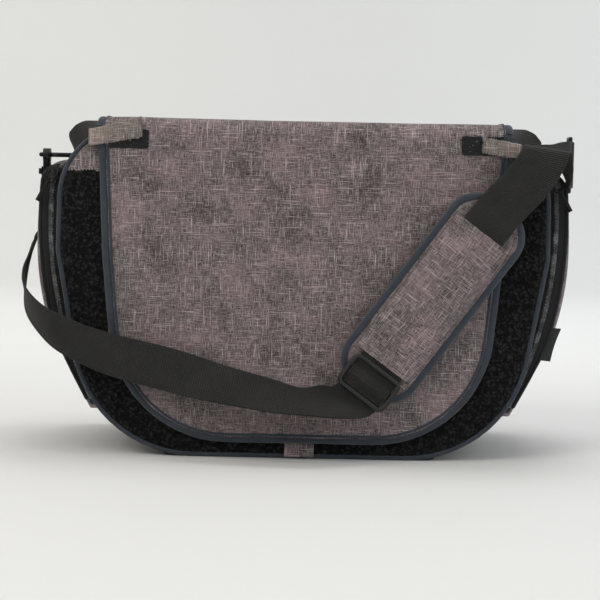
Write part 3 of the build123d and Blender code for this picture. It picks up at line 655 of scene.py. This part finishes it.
def front_panel():
    """Front wall with the door's window: a ring between the body's outline and the window, whose front is a
    curly pile, lumpy at three sizes and thicker at the sides, that thins out at both edges. Above the seam
    it is smooth heather."""
    outer, rings = inset(BODY, 3.6), 46
    t = np.concatenate([np.linspace(0, 1, rings), [1.0, 1.0], [0.9, 0.5, 0.1, 0.0, 0.0]])
    y = np.concatenate([np.full(rings, FRONT), [FRONT + 1.5, FRONT + 3.5], [FRONT + 4.9] * 4 + [FRONT]])
    on_face = np.arange(len(t)) < rings
    flat = outer[None] * (1 - t)[:, None, None] + WINDOW[None] * t[:, None, None]
    grid = facing_front(flat[..., 0], flat[..., 1], y[:, None] + np.zeros(flat.shape[:2]))
    edge = ease(t, 0, 0.05) * ease(1 - t, 0, 0.04) * on_face
    curls = 1.1 * cloud(grid, 9.0, 1) + 0.9 * np.abs(cloud(grid, 4.5, 2)) + 0.5 * cloud(grid, 2.6, 3)
    behind = ease(np.abs(grid[..., 0]), 140, 158)
    pile = (grid[..., 2] < SEAM_Z) * edge[:, None] * (0.7 + 0.9 * behind + curls * (0.45 + 0.55 * behind))
    crown = 1.2 * np.sin(np.pi * t) * on_face
    grid[..., 1] -= pile + (crown * ease(-t, -1, -0.6))[:, None] * 0.6
    kinds = np.where(grid[:-1, :-1, 2] < SEAM_Z, 0, 1)
    kinds[rings:] = 2
    grids = [(grid, grid[..., (0, 2)].copy(), kinds)]
    obj = mesh_from("front_panel_fleece", grids, [FLEECE, HEATHER, LINING])
    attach(obj, "bag")
    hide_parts("front_panel")


def body_wall():
    """Side, top and floor wall: the body's outline carried from front to back, slightly crowned between the
    pipings, with a lining behind it."""
    cloth_in, thick, rows = 3.9, 4.7, 21
    outer, inner = inset(BODY, cloth_in), inset(BODY, cloth_in + thick)
    t = np.linspace(-1, 1, rows)
    crown = 1.6 * (1 - t**6)
    normal = (outer - inner) / thick
    out = np.stack([outer + normal * c for c in crown])
    grid = np.stack([out[..., 0], np.broadcast_to(t[:, None] * 80.0, out.shape[:2]), out[..., 1]], -1)
    sag = 0.5 * cloud(grid, 45.0, 5) * (1 - t**4)[:, None]
    grid[..., (0, 2)] += normal[None] * sag[..., None]
    back = t[::-1] * 77.0
    lining = points_of(inner[None, :, 0], back[:, None], inner[None, :, 1])
    full = np.concatenate([grid, lining, grid[:1]])
    kinds = np.where(full[:-1, :-1, 2] < 12, 1, 0)
    kinds[rows - 1:] = 2
    around = points_of(measure(BODY)[None], full[:, :1, 1])
    obj = mesh_from("body_wall", [(full, around, kinds)], [HEATHER, TAPE, LINING])
    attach(obj, "bag")
    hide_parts("top_panel", "bottom_panel", "left_end_panel", "right_end_panel")


def back_panel():
    """Back wall: a full heather panel with a soft crown."""
    def lumps(flat, face):
        return 0.8 * cloud(facing_front(flat[..., 0], flat[..., 1], 0 * flat[..., 0]), 60.0, 8)

    grids = puff(inset(BODY, 3.8), facing_front, -FRONT, 78.2, (1.5, 0.0), 1.2, 26, lumps, (0, 1))
    obj = mesh_from("back_panel_cloth", grids, [HEATHER, LINING])
    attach(obj, "bag")
    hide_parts("back_panel")


def base_cover():
    """Hard-wearing base panel with rounded edges."""
    line = box_line(223, 159, 10, (0, 0), 121)
    obj = mesh_from("base_cover_cloth", puff(line, facing_up, 3.2, 0.0, (0, 0), 1.2, 8), [TAPE])
    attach(obj, "bag")
    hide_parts("base_cover")


def body_piping(name, y, node):
    """Covered cord round the body's edge, slightly puckered along its length."""
    line = inset(BODY, 2.0)
    path = facing_front(line[:, 0], line[:, 1], np.full(len(line), y))
    pucker = 1 + 0.05 * cloud(path, 6.0, 11)
    obj = mesh_from(name, [tube(path, 2.05 * pucker, 1.95 * pucker, (0, 1, 0), 10)], [NAVY])
    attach(obj, "bag")
    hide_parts(node)


def bed():
    """Removable bed: a fleece cushion whose ends lean out with the floor."""
    line = box_line(275, 153, 14, (0, 0), 241)

    def place(a, b, d):
        lean = 1 - 0.30 * (1 - ease(d, 11.0, 27.0)) * ease(np.abs(a), 20, 130)
        return facing_up(a * lean, b, d)

    def lumps(flat, face):
        spread = facing_up(flat[..., 0], flat[..., 1], 0 * flat[..., 0])
        return (0.8 if face == 0 else 0.0) * cloud(spread, 22.0, 9)

    obj = mesh_from("bed_cushion", puff(line, place, 26.0, 12.8, (3.0, 0.0), 5.0, 40, lumps), [BED])
    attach(obj, "bag")
    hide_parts("bed_pad")


def door():
    """Mesh door behind the flap, with a flat binding round it."""
    line = box_line(212, 122, 16, DOOR_CENTRE, 161)
    mesh = mesh_from("door_net", puff(line, facing_front, -81.3, -80.7, (0.3, 0), 0.2, 8), [MESH])
    path = box_line(220, 130, 20, DOOR_CENTRE, 241)
    path = facing_front(path[:, 0], path[:, 1], np.full(len(path), -81.0))
    bind = mesh_from("door_edge", [tube(path, 4.5, 1.1, (0, 1, 0), 12)], [NAVY])
    for obj, node, slot in ((mesh, "door_mesh", "mesh"), (bind, "door_binding", "navy_binding")):
        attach(obj, "door")
        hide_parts(node)


front_panel()
body_wall()
back_panel()
base_cover()
body_piping("front_edge_piping", -82.1, "front_piping")
body_piping("back_edge_piping", 82.1, "back_piping")
bed()
door()


# Flap


FLAP = mirrored_outline(FLAP_CORNERS, 1601)


def flap_half_width(z):
    """Half the flap's width at a height, from its outline."""
    right = FLAP[: len(FLAP) // 2]
    side = right[np.argmax(right[:, 0] > 40):]
    side = side[: np.argmax(side[:, 1]) + 1]
    keep = np.concatenate([[True], np.diff(side[:, 1]) > 1e-6])
    return np.interp(z, side[keep, 1], side[keep, 0])


def flap_run(count):
    """(Y, Z) down the flap's middle: up the back drop, over the top, round the fold and down the front."""
    corners = ((FLAP_BACK, FLAP_DROP, 0), (FLAP_BACK, FLAP_TOP, 9),
               (FLAP_Y, FLAP_TOP, 9), (FLAP_Y, FLAP_END, 0))
    return evenly(rounded(corners, False), count)


def flap_cloth():
    """The flap, its top and back drop: one padded sheet, heather outside and lining inside. Its width follows
    the outline, its face is softly waved, and it puckers a little along the piping."""
    run = flap_run(900)
    total = measure(run)[-1]
    s = np.concatenate([np.linspace(0, total - 60, 190)[:-1], total - 60 * np.linspace(1, 0, 90) ** 2])
    run = np.stack([np.interp(s, measure(run), run[:, k]) for k in (0, 1)], 1)
    front = run[:, 0] < FLAP_Y + 0.5
    half = np.where(front, flap_half_width(run[:, 1]), 164.0) - 2.6
    upper = 170
    half = np.concatenate([smoothed(half[:upper, None], 6)[:, 0], half[upper:]])
    w = np.linspace(-1, 1, 111)
    taper = np.ones(len(w))
    taper[[0, -1]] = 0.0
    x = half[:, None] * w[None]
    out = beside(unit(np.gradient(run, axis=0)))
    place = points_of(x, run[:, :1], run[:, 1:])
    away = np.minimum(half[:, None] - np.abs(x), (s[-1] - s)[:, None])
    inside = ease(away, 0, 26)
    flat = points_of(x, s[:, None], 0 * x)
    waves = inside * (0.9 * cloud(flat, 85.0, 21) + 0.4 * cloud(flat, 33.0, 22) + 0.12 * cloud(flat, 9.0, 24))
    rim = (1 - ease(away, 4, 20)) * ease(away, 0, 2)
    pucker = 0.35 * rim * cloud(flat, 7.0, 23)
    swell = 0.5 * ease(away, 0, 8)
    thick = np.full(len(run), 1.8)
    thick[[0, -1]] = 0.0
    grids = []
    uv = points_of(x, s[:, None])
    lift = {1: waves * 0.8 + pucker + swell, -1: -waves * 0.5}
    for side, kind in ((1, 0), (-1, 1)):
        d = (thick[:, None] + lift[side] * (thick[:, None] > 0)) * taper[None]
        grid = place.copy()
        grid[..., 1:] += side * d[..., None] * out[:, None]
        grids.append((grid, uv, kind))
    obj = mesh_from("flap_cloth", grids, [HEATHER, LINING])
    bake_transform(obj)
    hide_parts("flap_shell", "flap_lining", "flap_top")
    return obj


def flap_edge():
    """Bound edge of the flap: a wide roll down one side from the back drop, round the lower edge and up the
    other, with a thin piping along its inner side."""
    join = 249

    def round_flap(gap, side_x):
        """The route gap inside the flap's lower outline, and at side_x on both sides of its top."""
        run = flap_run(300)
        side = np.stack([np.full(len(run), side_x), run[:, 0], run[:, 1]], 1)
        top = side[(side[:, 1] > FLAP_Y + 0.3) | (side[:, 2] > 262)]
        line = inset(FLAP, gap)
        low = line[line[:, 1] < join + 1]
        start = int(np.argmin(np.abs(low[:, 1] - join) + 400 * (low[:, 0] < 0)))
        finish = int(np.argmin(np.abs(low[:, 1] - join) + 400 * (low[:, 0] > 0)))
        lower = np.concatenate([low[: start + 1][::-1], low[finish:][::-1]])
        lower = facing_front(lower[:, 0], lower[:, 1], np.full(len(lower), FLAP_Y))
        path = np.concatenate([top, lower, top[::-1] * (-1, 1, 1)])
        return smoothed(evenly(path, 1100), 12)

    roll, thin = round_flap(2.6, 162.4), round_flap(6.7, 158.3)
    pucker = 1 + 0.07 * cloud(roll, 9.0, 31) + 0.03 * cloud(roll, 3.5, 32)
    reference = (0.001, 0.35, 0.94)
    outward = np.zeros_like(thin)
    flat = np.abs(thin[:, 1] - FLAP_Y) < 1.5
    outward[:, 1] = np.where(flat, -1.0, 0)
    outward[:, 2] = np.where(flat, 0, 1.0)
    outward[(thin[:, 1] > FLAP_BACK - 2) & (thin[:, 2] < FLAP_TOP - 4)] = (0, 1, 0)
    thin = smoothed(thin + outward * 2.2, 10)
    grids = [tube(roll, 3.5 * pucker, 2.6 * pucker, reference, 12, False),
             tube(thin, 1.15, 1.15, reference, 8, False)]
    obj = mesh_from("flap_edge_piping", grids, [NAVY])
    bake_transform(obj)
    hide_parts("flap_piping", "flap_top_piping")
    return obj


edge = flap_edge()
cloth = flap_cloth()


# End pockets and zips


def body_side(z, gap):
    """X of the body's right side at a height, moved out by gap."""
    line = inset(BODY, 3.4)
    right = line[: len(line) // 2]
    right = right[(right[:, 0] > 60) & (right[:, 1] > 10) & (right[:, 1] < 262)]
    return np.interp(z, right[:, 1], right[:, 0]) + gap


def zip_arc(radius, z):
    """X of the zip's arc at a height."""
    return ZIP_X + np.sqrt(radius**2 - (z - ZIP_Z) ** 2)


def pocket_heights(low, count, rise):
    """Heights from low to the pocket's shoulder in even steps, then on by rise in ever closer ones."""
    top = POCKET_SHOULDER + rise * np.sin(np.linspace(0, 1, 14) * np.pi / 2)[1:]
    return np.concatenate([np.linspace(low, POCKET_SHOULDER, count), top])


def proud(z):
    """How far the pocket stands out past the zip's arc at a height."""
    return POCKET_PROUD * ease(z, POCKET_FOOT, 110)


def pocket_out(z, back=0.0):
    """X of the pocket's outer edge: the zip's arc, rounded over at the top."""
    x = zip_arc(ZIP_RADIUS - back, z)
    drop = np.maximum(z - POCKET_SHOULDER, 0)
    cap = POCKET_TOP_X + np.sqrt(np.maximum(POCKET_TOP_RADIUS**2 - drop**2, 0)) - back
    return np.where(z > POCKET_SHOULDER, np.minimum(x, cap), x) + proud(z)


def pocket():
    """Padded end panel: the crescent's outline carried from front to back, crowned between its edges."""
    z = np.append(POCKET_FOOT, pocket_heights(POCKET_FOOT, 60, 23.9))
    t = np.concatenate([[-1, -1, -0.995, -0.98], np.linspace(-0.95, 0.95, 25), [0.98, 0.995, 1, 1]])
    y = 69.6 * t
    near, far = body_side(z, 0.3), pocket_out(z)
    near = np.minimum(near, far - 1)
    crown = 7.0 * (1 - np.abs(t) ** 5)[:, None] * (np.sin(np.pi * np.clip((z - 34) / 190, 0, 1)) ** 1.2)[None]
    fold = (1 - (np.abs(t) - 0.95) / 0.05)[:, None].clip(0, 1)
    cap = np.ones((len(t), 1))
    cap[[0, -1]] = 0
    middle = (near + far)[None] / 2
    outer = middle + (far[None] - middle) * cap - 1.2 * (1 - fold) * cap + crown * cap
    inner = middle + (near[None] - middle) * cap
    rows = np.concatenate([outer, inner[:, ::-1], outer[:, :1]], 1)
    heights = np.broadcast_to(np.concatenate([z, z[::-1], z[:1]])[None], rows.shape)
    grid = np.stack([rows, np.broadcast_to(y[:, None], rows.shape), heights], -1)
    lump = 0.5 * cloud(grid, 38.0, 41) * (1 - np.abs(t) ** 6)[:, None]
    grid[:, : len(z), 0] += lump[:, : len(z)]
    around = points_of(heights, grid[..., 1])
    return [(grid, around, 0)]


def zip_tape():
    """Black tape that fills the crescent between the body's piping and the pocket's edge."""
    z = pocket_heights(39.5, 90, 20.4)
    share = np.linspace(0, 1, 9)
    near, far = body_side(z, 0.6), pocket_out(z, 2.6)
    near = np.minimum(near, far - 0.5)
    grids = []
    for y in (-71.7, -70.2):
        x = near[None] + (far - near)[None] * share[:, None]
        crown = 0.4 * np.sin(share * np.pi)[:, None] * (y < -71)
        grid = points_of(x, y - crown, z[None])
        grid[[0, -1], :, 1] = -71.0
        grids.append((grid, grid[..., (0, 2)].copy(), 0))
    return grids


def coil():
    """Zip coil: two rows of teeth that meet on the chain's line, each tooth a rounded ridge across its half,
    half a pitch apart on the two sides."""
    z = np.linspace(44, 235.5, 1150)
    centre = np.minimum(zip_arc(CHAIN_RADIUS, z), pocket_out(z, 5.5) - proud(z))
    path = smoothed(np.stack([centre, z], 1), 60)
    across = beside(unit(np.gradient(path, axis=0)))
    w = np.linspace(-1, 1, 9)
    phase = 2 * np.pi * measure(path)[:, None] / 2.3 + np.where(w > 0, np.pi, 0)[None]
    ridge = (0.5 + 0.5 * np.cos(phase)) ** 0.7
    height = np.sqrt(1 - np.abs(w) ** 2.5)[None] * (0.5 + 1.2 * ridge) * (np.abs(w) < 0.99)[None]
    height = height * (1 - 0.45 * (np.abs(w) < 0.1))[None]
    reach = (1.8 + 0.5 * ridge) * w[None]
    place = path[:, None] + across[:, None] * reach[..., None]
    top = np.stack([place[..., 0], -72.0 - height, place[..., 1]], -1)
    low = np.stack([place[..., 0], np.full(reach.shape, -71.6), place[..., 1]], -1)[:, ::-1]
    grid = np.concatenate([top, low, top[:, :1]], 1)
    uv = points_of(measure(path)[:, None], np.arange(grid.shape[1])[None] * 0.5)
    ends = [np.broadcast_to(grid[k].mean(0), grid[:1].shape) for k in (0, -1)]
    return [(np.concatenate([ends[0], grid, ends[1]]), np.concatenate([uv[:1], uv, uv[-1:]]), 0)]


def pocket_cord():
    """Covered cord on the crescent's outer edge."""
    z = np.linspace(44, 231, 240)
    x = pocket_out(z, 1.6)
    path = smoothed(facing_front(x, z, np.full(len(z), -71.2)), 8)
    pucker = 1 + 0.05 * cloud(path, 5.0, 43)
    return [tube(path, 1.45 * pucker, 1.5 * pucker, (0, 1, 0), 9, False)]


def blank_label():
    """Blank woven label, folded and caught in the right pocket's edge: a thin slip that bows a little."""
    s = np.linspace(0, 1, 16)
    z = 96 + 27 * (s - 0.5)
    start = zip_arc(ZIP_RADIUS, z) + 0.6
    centres = np.stack([start + 5.6 - 1.2 * np.sin(np.pi * s), -70.5 - 0.25 * np.sin(np.pi * s), z], 1)
    halves = np.broadcast_to([5.3, 0.0, -0.5], centres.shape)
    return [ribbon(centres, halves, 0.6)]


def both_sides(name, node, grids, finishes, ends=False):
    """The right piece and its mirror image, each with its own name and node. With ends set, each piece also
    has the same grids at the bag's back."""
    pieces = []
    for side, flip in (("right", False), ("left", True)):
        made = grids + turned_back(grids) if ends else grids
        made = flipped(made) if flip else made
        obj = mesh_from(f"{side}_{name}", made, finishes)
        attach(obj, "bag")
        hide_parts(f"{side}_{node}")
        pieces.append(obj)
    return pieces


for panel in both_sides("pocket_panel", "end_pocket", pocket(), [HEATHER]):
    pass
both_sides("zip_band", "pocket_tape", zip_tape(), [TAPE], ends=True)
both_sides("zip_coil", "zip_chain", coil(), [COIL], ends=True)
both_sides("pocket_cord", "pocket_piping", pocket_cord(), [TAPE], ends=True)
label = mesh_from("blank_side_label", blank_label(), [LINING])
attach(label, "bag")
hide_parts("side_label")


# Tabs and patches


def corner_tab(free_x, root, end, seed):
    """Short tab: a sewn root that comes round the front corner, then a free end with ragged edges. root and
    end are its lowest and highest Z where it starts and at the free end."""
    plan = rounded([(172.0, -84.2, 0), (172.0, -92.3, 2.2), (free_x, -92.6, 0)], False, 8)
    path = evenly(plan, 90)
    s = measure(path)
    out = beside(unit(np.gradient(path, axis=0)))
    out *= -np.sign(out[-1, 1])
    w = np.linspace(0, 1, 25)
    wobble = np.stack([cloud(np.stack([s, 0 * s + k, 0 * s], 1), 3.0, seed) for k in (5, 45)], 1) * 0.45
    share = (TAB_START - path[:, 0]).clip(0) / (TAB_START - free_x)
    low = root[0] + (end[0] - root[0]) * share + wobble[:, 0]
    high = root[1] + (end[1] - root[1]) * share + wobble[:, 1]
    z = low[:, None] + (high - low)[:, None] * w[None]
    ragged = 0.6 * cloud(np.stack([0 * w, w * 16, 0 * w], 1), 2.0, seed + 1)
    depth = 0.55 * np.minimum(1, np.minimum(w, 1 - w) * 12)[None] * np.ones((len(s), 1))
    depth[[0, -1]] = 0
    bow = 0.3 * cloud(points_of(s[:, None], z, 0 * z), 12.0, seed + 2)
    bow = bow * ease(s, 12, 20)[:, None] + 0.5 * ease(s, 24, 46)[:, None]
    flat = points_of(path[:, :1], path[:, 1:], z).copy()
    flat[-6:, :, 0] -= np.linspace(0, 1, 6)[:, None] * ragged[None]
    uv = points_of(s[:, None], z)
    grids = []
    for side in (1, -1):
        grid = flat.copy()
        grid[..., :2] += (side * depth + bow)[..., None] * out[:, None]
        grids.append((grid, uv, 0))
    return grids


def frayed(free_x, root, end, seed):
    """Loose pale threads along the tab's three free edges: short bent hairs of three sides."""
    draw = np.random.default_rng(seed)
    count = 170
    share = draw.uniform(0, 1, count)
    pick = draw.integers(0, 3, count)
    x = np.where(pick == 2, free_x, 163 + (free_x - 163) * share)
    at = (TAB_START - x) / (TAB_START - free_x)
    low, high = (r + (e - r) * at for r, e in zip(root, end))
    z = np.where(pick == 0, low, np.where(pick == 1, high, low + (high - low) * share))
    way = np.where(pick[:, None] == 0, [0, -1], np.where(pick[:, None] == 1, [0, 1], [-1, 0]))
    way = way + draw.normal(0, 0.7, (count, 2))
    size = draw.uniform(0.5, 1.6, count)
    t = np.linspace(0, 1, 4)
    turn = np.linspace(0, 2 * np.pi, 4)
    grids = []
    for i in range(count):
        spine = np.stack([x[i] + way[i, 0] * size[i] * (t - 0.4), -93.5 - 0.3 * t * draw.uniform(0, 1),
                          z[i] + way[i, 1] * size[i] * (t - 0.4) + 0.3 * draw.normal() * t * t], 1)
        thick = 0.15 * np.array([1, 1, 0.8, 0.0])
        ring = np.stack([np.cos(turn), np.sin(turn), 0 * turn], 1)
        grid = spine[:, None] + thick[:, None, None] * ring[None]
        grids.append((grid, np.zeros((4, 4, 2)), 1))
    return grids


def tabs():
    """The two corner tabs, each coming round the front corner, and the loop patches under them."""
    pale = twill("frayed_thread", tone(150, 142, 134), tone(205, 198, 190), 0.3, 0.8, 0.3)
    shapes = (("right", False, 61, 141.0, (245.5, 257.5), (250.5, 262.5)),
              ("left", True, 62, 129.8, (249.5, 263.0), (257.0, 273.5)))
    for side, flip, seed, free_x, root, end in shapes:
        made = corner_tab(free_x, root, end, seed) + frayed(free_x, root, end, seed)
        obj = mesh_from(f"{side}_corner_strap", flipped(made) if flip else made, [TAB_CLOTH, pale])
        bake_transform(obj)
        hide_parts(f"{side}_corner_tab", f"{side}_tab_root")
    line = box_line(34, 15, 1.2, (141.5, 255.5), 81)
    line = line + 0.25 * np.stack([cloud(np.append(line, 0 * line[:, :1], 1), 2.5, k) for k in (71, 72)], 1)
    line[-1] = line[0]
    patch = puff(line, facing_front, -91.2, -90.0, (0.1, 0), 0.3, 8)
    both_sides("loop_fastener", "loop_patch", patch, [LOOPS])


def lower_tab():
    """Tab that comes up behind the flap's lower edge, with a curl at its foot."""
    s = np.linspace(0, 1, 30)
    centres = np.stack([0 * s, -85.1 - 1.2 * (1 - s) ** 6, 1.6 + 30 * s], 1)
    halves = np.broadcast_to([12.0, 0, 0], centres.shape)
    obj = mesh_from("lower_flap_tab", [ribbon(centres, halves, 1.2)], [HEATHER])
    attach(obj, "bottom_flap_tab")
    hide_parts("bottom_tab")


tabs()
lower_tab()


# Strap


GLIDE_U = -83.6
ACROSS = (-0.807, 0, 0.59)
STRAP_ROUTE = (  # X, Y, Z and the direction of the half width
    (-219, 0, 198.8, 0, 1, 0), (-219, 0, 190, 0, 1, 0), (-223, -6, 178, 0, 1, 0.2),
    (-226, -24, 166, 0, 0.85, 0.5), (-227, -50, 146, 0, 0.6, 0.8), (-225, -74, 131, -0.15, 0.4, 0.9),
    (-217, -93, 119, -0.3, 0.15, 0.95), (-202, WEB_Y + 2, 106, -0.3, 0, 0.95),
    (-176, WEB_Y, 93, -0.27, 0, 0.96), (-97, WEB_Y - 1, 71.5, -0.2, 0.2, 0.95),
    (-57, WEB_Y - 3, 62, -0.18, 0.6, 0.76), (-19, WEB_Y - 6, 54.5, -0.13, 0.78, 0.6),
    (5, WEB_Y - 6, 50.5, -0.2, 0.84, 0.46), (25, WEB_Y - 2.6, 50.5, -0.5, 0.56, 0.58),
    (42.6, WEB_Y + 0.1, 52.2, *ACROSS), (50, WEB_Y, 61, *ACROSS), (59.5, WEB_Y, 73.3, *ACROSS),
    (PAD_X, WEB_Y, PAD_Z, *ACROSS), (161.4, WEB_Y, 212.5, *ACROSS),
    (176.4, WEB_Y, 228.9, -0.88, 0, 0.47), (188.4, WEB_Y, 249.0, -0.985, 0, 0.17),
    (190.2, WEB_Y + 0.8, 253.6, -0.99, 0, 0.13), (191.6, WEB_Y + 3.4, 254.2, -0.99, 0, 0.13),
    (194.5, WEB_Y + 9, 250.2, -0.95, -0.05, 0.28), (203.5, WEB_Y + 24, 241.5, -0.5, 0, 0.86),
    (212.5, -62, 242, -0.2, 0, 0.98), (218, -52, 242.5, -0.08, 0, 1), (219, -43.2, 242, 0, 0, 1),
)


def strap_webbing():
    """The webbing: one ribbon through the route's points, its half-width vectors turning with it, raised
    where it passes over the adjuster's bar, and a sewn roll at each end."""
    route = smooth_route(STRAP_ROUTE, 560)
    halves = unit(route[:, 3:])
    centres = smoothed(route[:, :3], 3)
    along = (centres[:, 0] - PAD_X) * np.cos(PAD_TURN) + (centres[:, 2] - PAD_Z) * np.sin(PAD_TURN)
    centres[:, 1] -= 3.0 * np.exp(-((along - GLIDE_U) / 4.2) ** 4) * (centres[:, 0] > 30)
    halves = unit(smoothed(halves, 4)) * WEB_HALF
    grids = [ribbon(centres, halves, WEB_THICK, 13)]
    for centre, axis in (((-219, 0, 202), (0, 1, 0)), ((219, -40, 242), (0, 0, 1))):
        turn = np.linspace(0, 2 * np.pi, 29)
        axis = np.array(axis, float)
        a = np.array([1.0, 0, 0])
        b = np.cross(axis, a)
        ring = np.cos(turn)[:, None] * a + np.sin(turn)[:, None] * b
        side = np.array([-1, -1, 1, 1, 1, 1, -1, -1, -1])
        w = side * (WEB_HALF - np.array([0, 0.4, 0.4, 0, 0, 0.4, 0.4, 0, 0]))
        r = np.array([2.7, 3.1, 3.1, 2.7, 2.4, 2.05, 2.05, 2.4, 2.7])
        grid = np.array(centre, float) + r[None, :, None] * ring[:, None] + w[None, :, None] * axis
        grids.append((grid, points_of(turn[:, None] * 2.8, w[None]), 0))
    obj = mesh_from("strap_band", grids, [WEBBING])
    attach(obj, "strap")
    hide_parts("strap_webbing", "left_strap_loop", "right_strap_loop")


def pad_point(line, y):
    """An outline laid on the pad at a depth."""
    return on_pad(line[:, 0], line[:, 1], y)


def shoulder_pad():
    """Shoulder pad: a crowned heather cushion, with bound edge and a stitched sleeve over the webbing."""
    def lumps(flat, face):
        return (0.45 if face == 0 else 0.2) * cloud(np.append(flat, 0 * flat[..., :1], -1), 16.0, 81 + face)

    def raised(v):
        """How far the sleeve stands off the pad across it: level over the webbing, down to 0 at its edges."""
        return 4.3 * (1 - ease(np.abs(v), 20.2, 25.4))

    def sew(path, thick=0.26):
        return stitches(path, (0, -1, 0), 3.2, 2.2, thick)

    line = box_line(PAD_LENGTH - 6.5, PAD_WIDTH - 6.5, PAD_CORNER - 3.2, (0, 0), 361)
    grids = puff(line, on_pad, -102.6, -97.0, (1.1, 0.3), 1.6, 30, lumps, (0, 1))
    pad = mesh_from("pad_cushion", grids, [HEATHER, PADDING])
    line = box_line(PAD_LENGTH - 7.0, PAD_WIDTH - 7.0, PAD_CORNER - 3.5, (0, 0), 721)
    path = pad_point(line, -100.0)
    pucker = 1 + 0.04 * cloud(path, 5.0, 83)
    bind = mesh_from("pad_edge", [tube(path, 3.7 * pucker, 3.4 * pucker, (0, 1, 0), 12)], [NAVY])
    u = np.linspace(-65.5, 65.5, 132)
    v = np.concatenate([np.linspace(-26, 26, 53), np.linspace(26, -26, 53), [-26]])
    thick = np.concatenate([np.full(53, 1.0), np.zeros(53), [1.0]])
    y = SLEEVE_Y - raised(v) - thick
    grid = on_pad(u[:, None], v[None], y[None])
    flat = points_of(u[:, None], v[None], 0 * u[:, None])
    seam = sum(np.exp(-((np.abs(u)[:, None] - k) / 0.7) ** 2) for k in (62.0, 56.5)) * (np.abs(v)[None] < 25)
    seam = seam + np.exp(-((np.abs(v)[None] - 24.2) / 0.6) ** 2)
    grid[..., 1] -= (0.25 * cloud(flat, 13.0, 85) - 0.35 * np.clip(seam, 0, 1)) * thick[None]
    uv = points_of(u[:, None], v[None])
    closing = [(np.stack([grid[k][:53], grid[k][53:106][::-1]]), np.stack([uv[k][:53]] * 2), 0)
               for k in (0, -1)]
    sleeve = mesh_from("pad_sleeve_cloth", [(grid, uv, 0)] + closing, [HEATHER])
    rows = []
    for k in (-62.0, -56.5, 56.5, 62.0):
        v_line = np.linspace(-23, 23, 60)
        rows += sew(on_pad(np.full(60, k), v_line, SLEEVE_Y - raised(v_line) - 0.75))
    for k in (-24.2, 24.2):
        rows += sew(on_pad(np.linspace(-62, 62, 120), np.full(120, k), -104.6))
    inner = box_line(PAD_LENGTH - 15.5, PAD_WIDTH - 15.5, PAD_CORNER - 7.8, (0, 0), 700)
    rows += sew(pad_point(inner, -102.85), 0.24)
    thread = mesh_from("pad_stitches", rows, [THREAD])
    slots = ((pad, "pad_back"), (bind, "navy_binding"), (sleeve, "heather_cloth"), (thread, "heather_cloth"))
    for obj, slot in slots:
        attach(obj, "pad")
    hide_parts("shoulder_pad")
    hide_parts("pad_binding")
    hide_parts("pad_sleeve")


def tri_glide():
    """Strap adjuster: a rounded frame in front of the webbing, two posts and a centre bar behind it."""
    line = box_line(26.4, 42.6, 5.0, (GLIDE_U, 0), 161)
    grids = [tube(pad_point(line, -109.5), 1.95, 1.35, (0, 1, 0), 12)]
    s = np.linspace(-21, 21, 40)
    y = -104.8 - 4.4 * ease(np.abs(s), 19.6, 21.4)
    grids.append(tube(on_pad(np.full(40, GLIDE_U), s, y), 3.4, 0.85, (0, 1, 0), 12, False))
    obj = mesh_from("tri_glide", grids, [BLACK])
    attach(obj, "adjuster")
    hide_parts("strap_adjuster")


def chape():
    """Webbing loop: it comes up from the shoulder, stands in a twisted arch and turns round the ring's inner
    bar, with two rows of thread where its end is sewn back."""
    turn = np.radians(np.linspace(55, -215, 30))
    eye = np.stack([192 + 3.2 * np.cos(turn), np.full(30, 14.0), 242 + 3.2 * np.sin(turn)], 1)
    rise = np.array([(149, 13, 267.0), (158, 11.5, 268.4), (167, 9, 269.2), (176, 6.5, 268.4),
                     (184, 5, 265.0), (191, 5, 259.8), (196, 6.5, 254.0), (198, 10.5, 249.5),
                     (197, 13.5, 246.3)])
    path = smoothed(evenly(np.concatenate([rise, eye]), 150), 5)
    s = measure(path)
    twist = ease(s, 14, 48) * (1 - ease(s, 54, 68))
    halves = np.stack([0.47 * twist, 1 - 0.5 * twist, 0.66 * twist], 1)
    halves = unit(halves) * 11.5
    grids = [ribbon(path, halves, 1.5, 9)]
    for place in (14.0, 17.0):
        at = np.argmin(np.abs(s - place))
        line = path[at] + np.linspace(-0.85, 0.85, 24)[:, None] * halves[at]
        out = np.cross(halves[at], path[at + 1] - path[at])
        out = out / np.linalg.norm(out) * (1 if out[2] > 0 else -1)
        grids += stitches(line + 0.8 * out, out, 3.0, 2.0, 0.25, 1)
    return grids


strap_webbing()
shoulder_pad()
tri_glide()
both_sides("chape_loop", "chape", chape(), [WEBBING, THREAD])


# Hardware and board keep the frame's own shapes, with new finishes


HARD = {
    METAL: ("left_snap_hook", "right_snap_hook", "left_swivel_eye", "right_swivel_eye", "left_strap_ring",
            "right_strap_ring", "left_hook_trigger", "right_hook_trigger"),
    BLACK: ("left_zip_slider", "right_zip_slider"),
    CORD: ("left_zip_pull", "right_zip_pull"),
    BOARD: ("base_board",),
}
for finish, nodes in HARD.items():
    for node in nodes:
        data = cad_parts[node].data
        data.materials.clear()
        data.materials.append(finish)

bpy.context.view_layer.update()
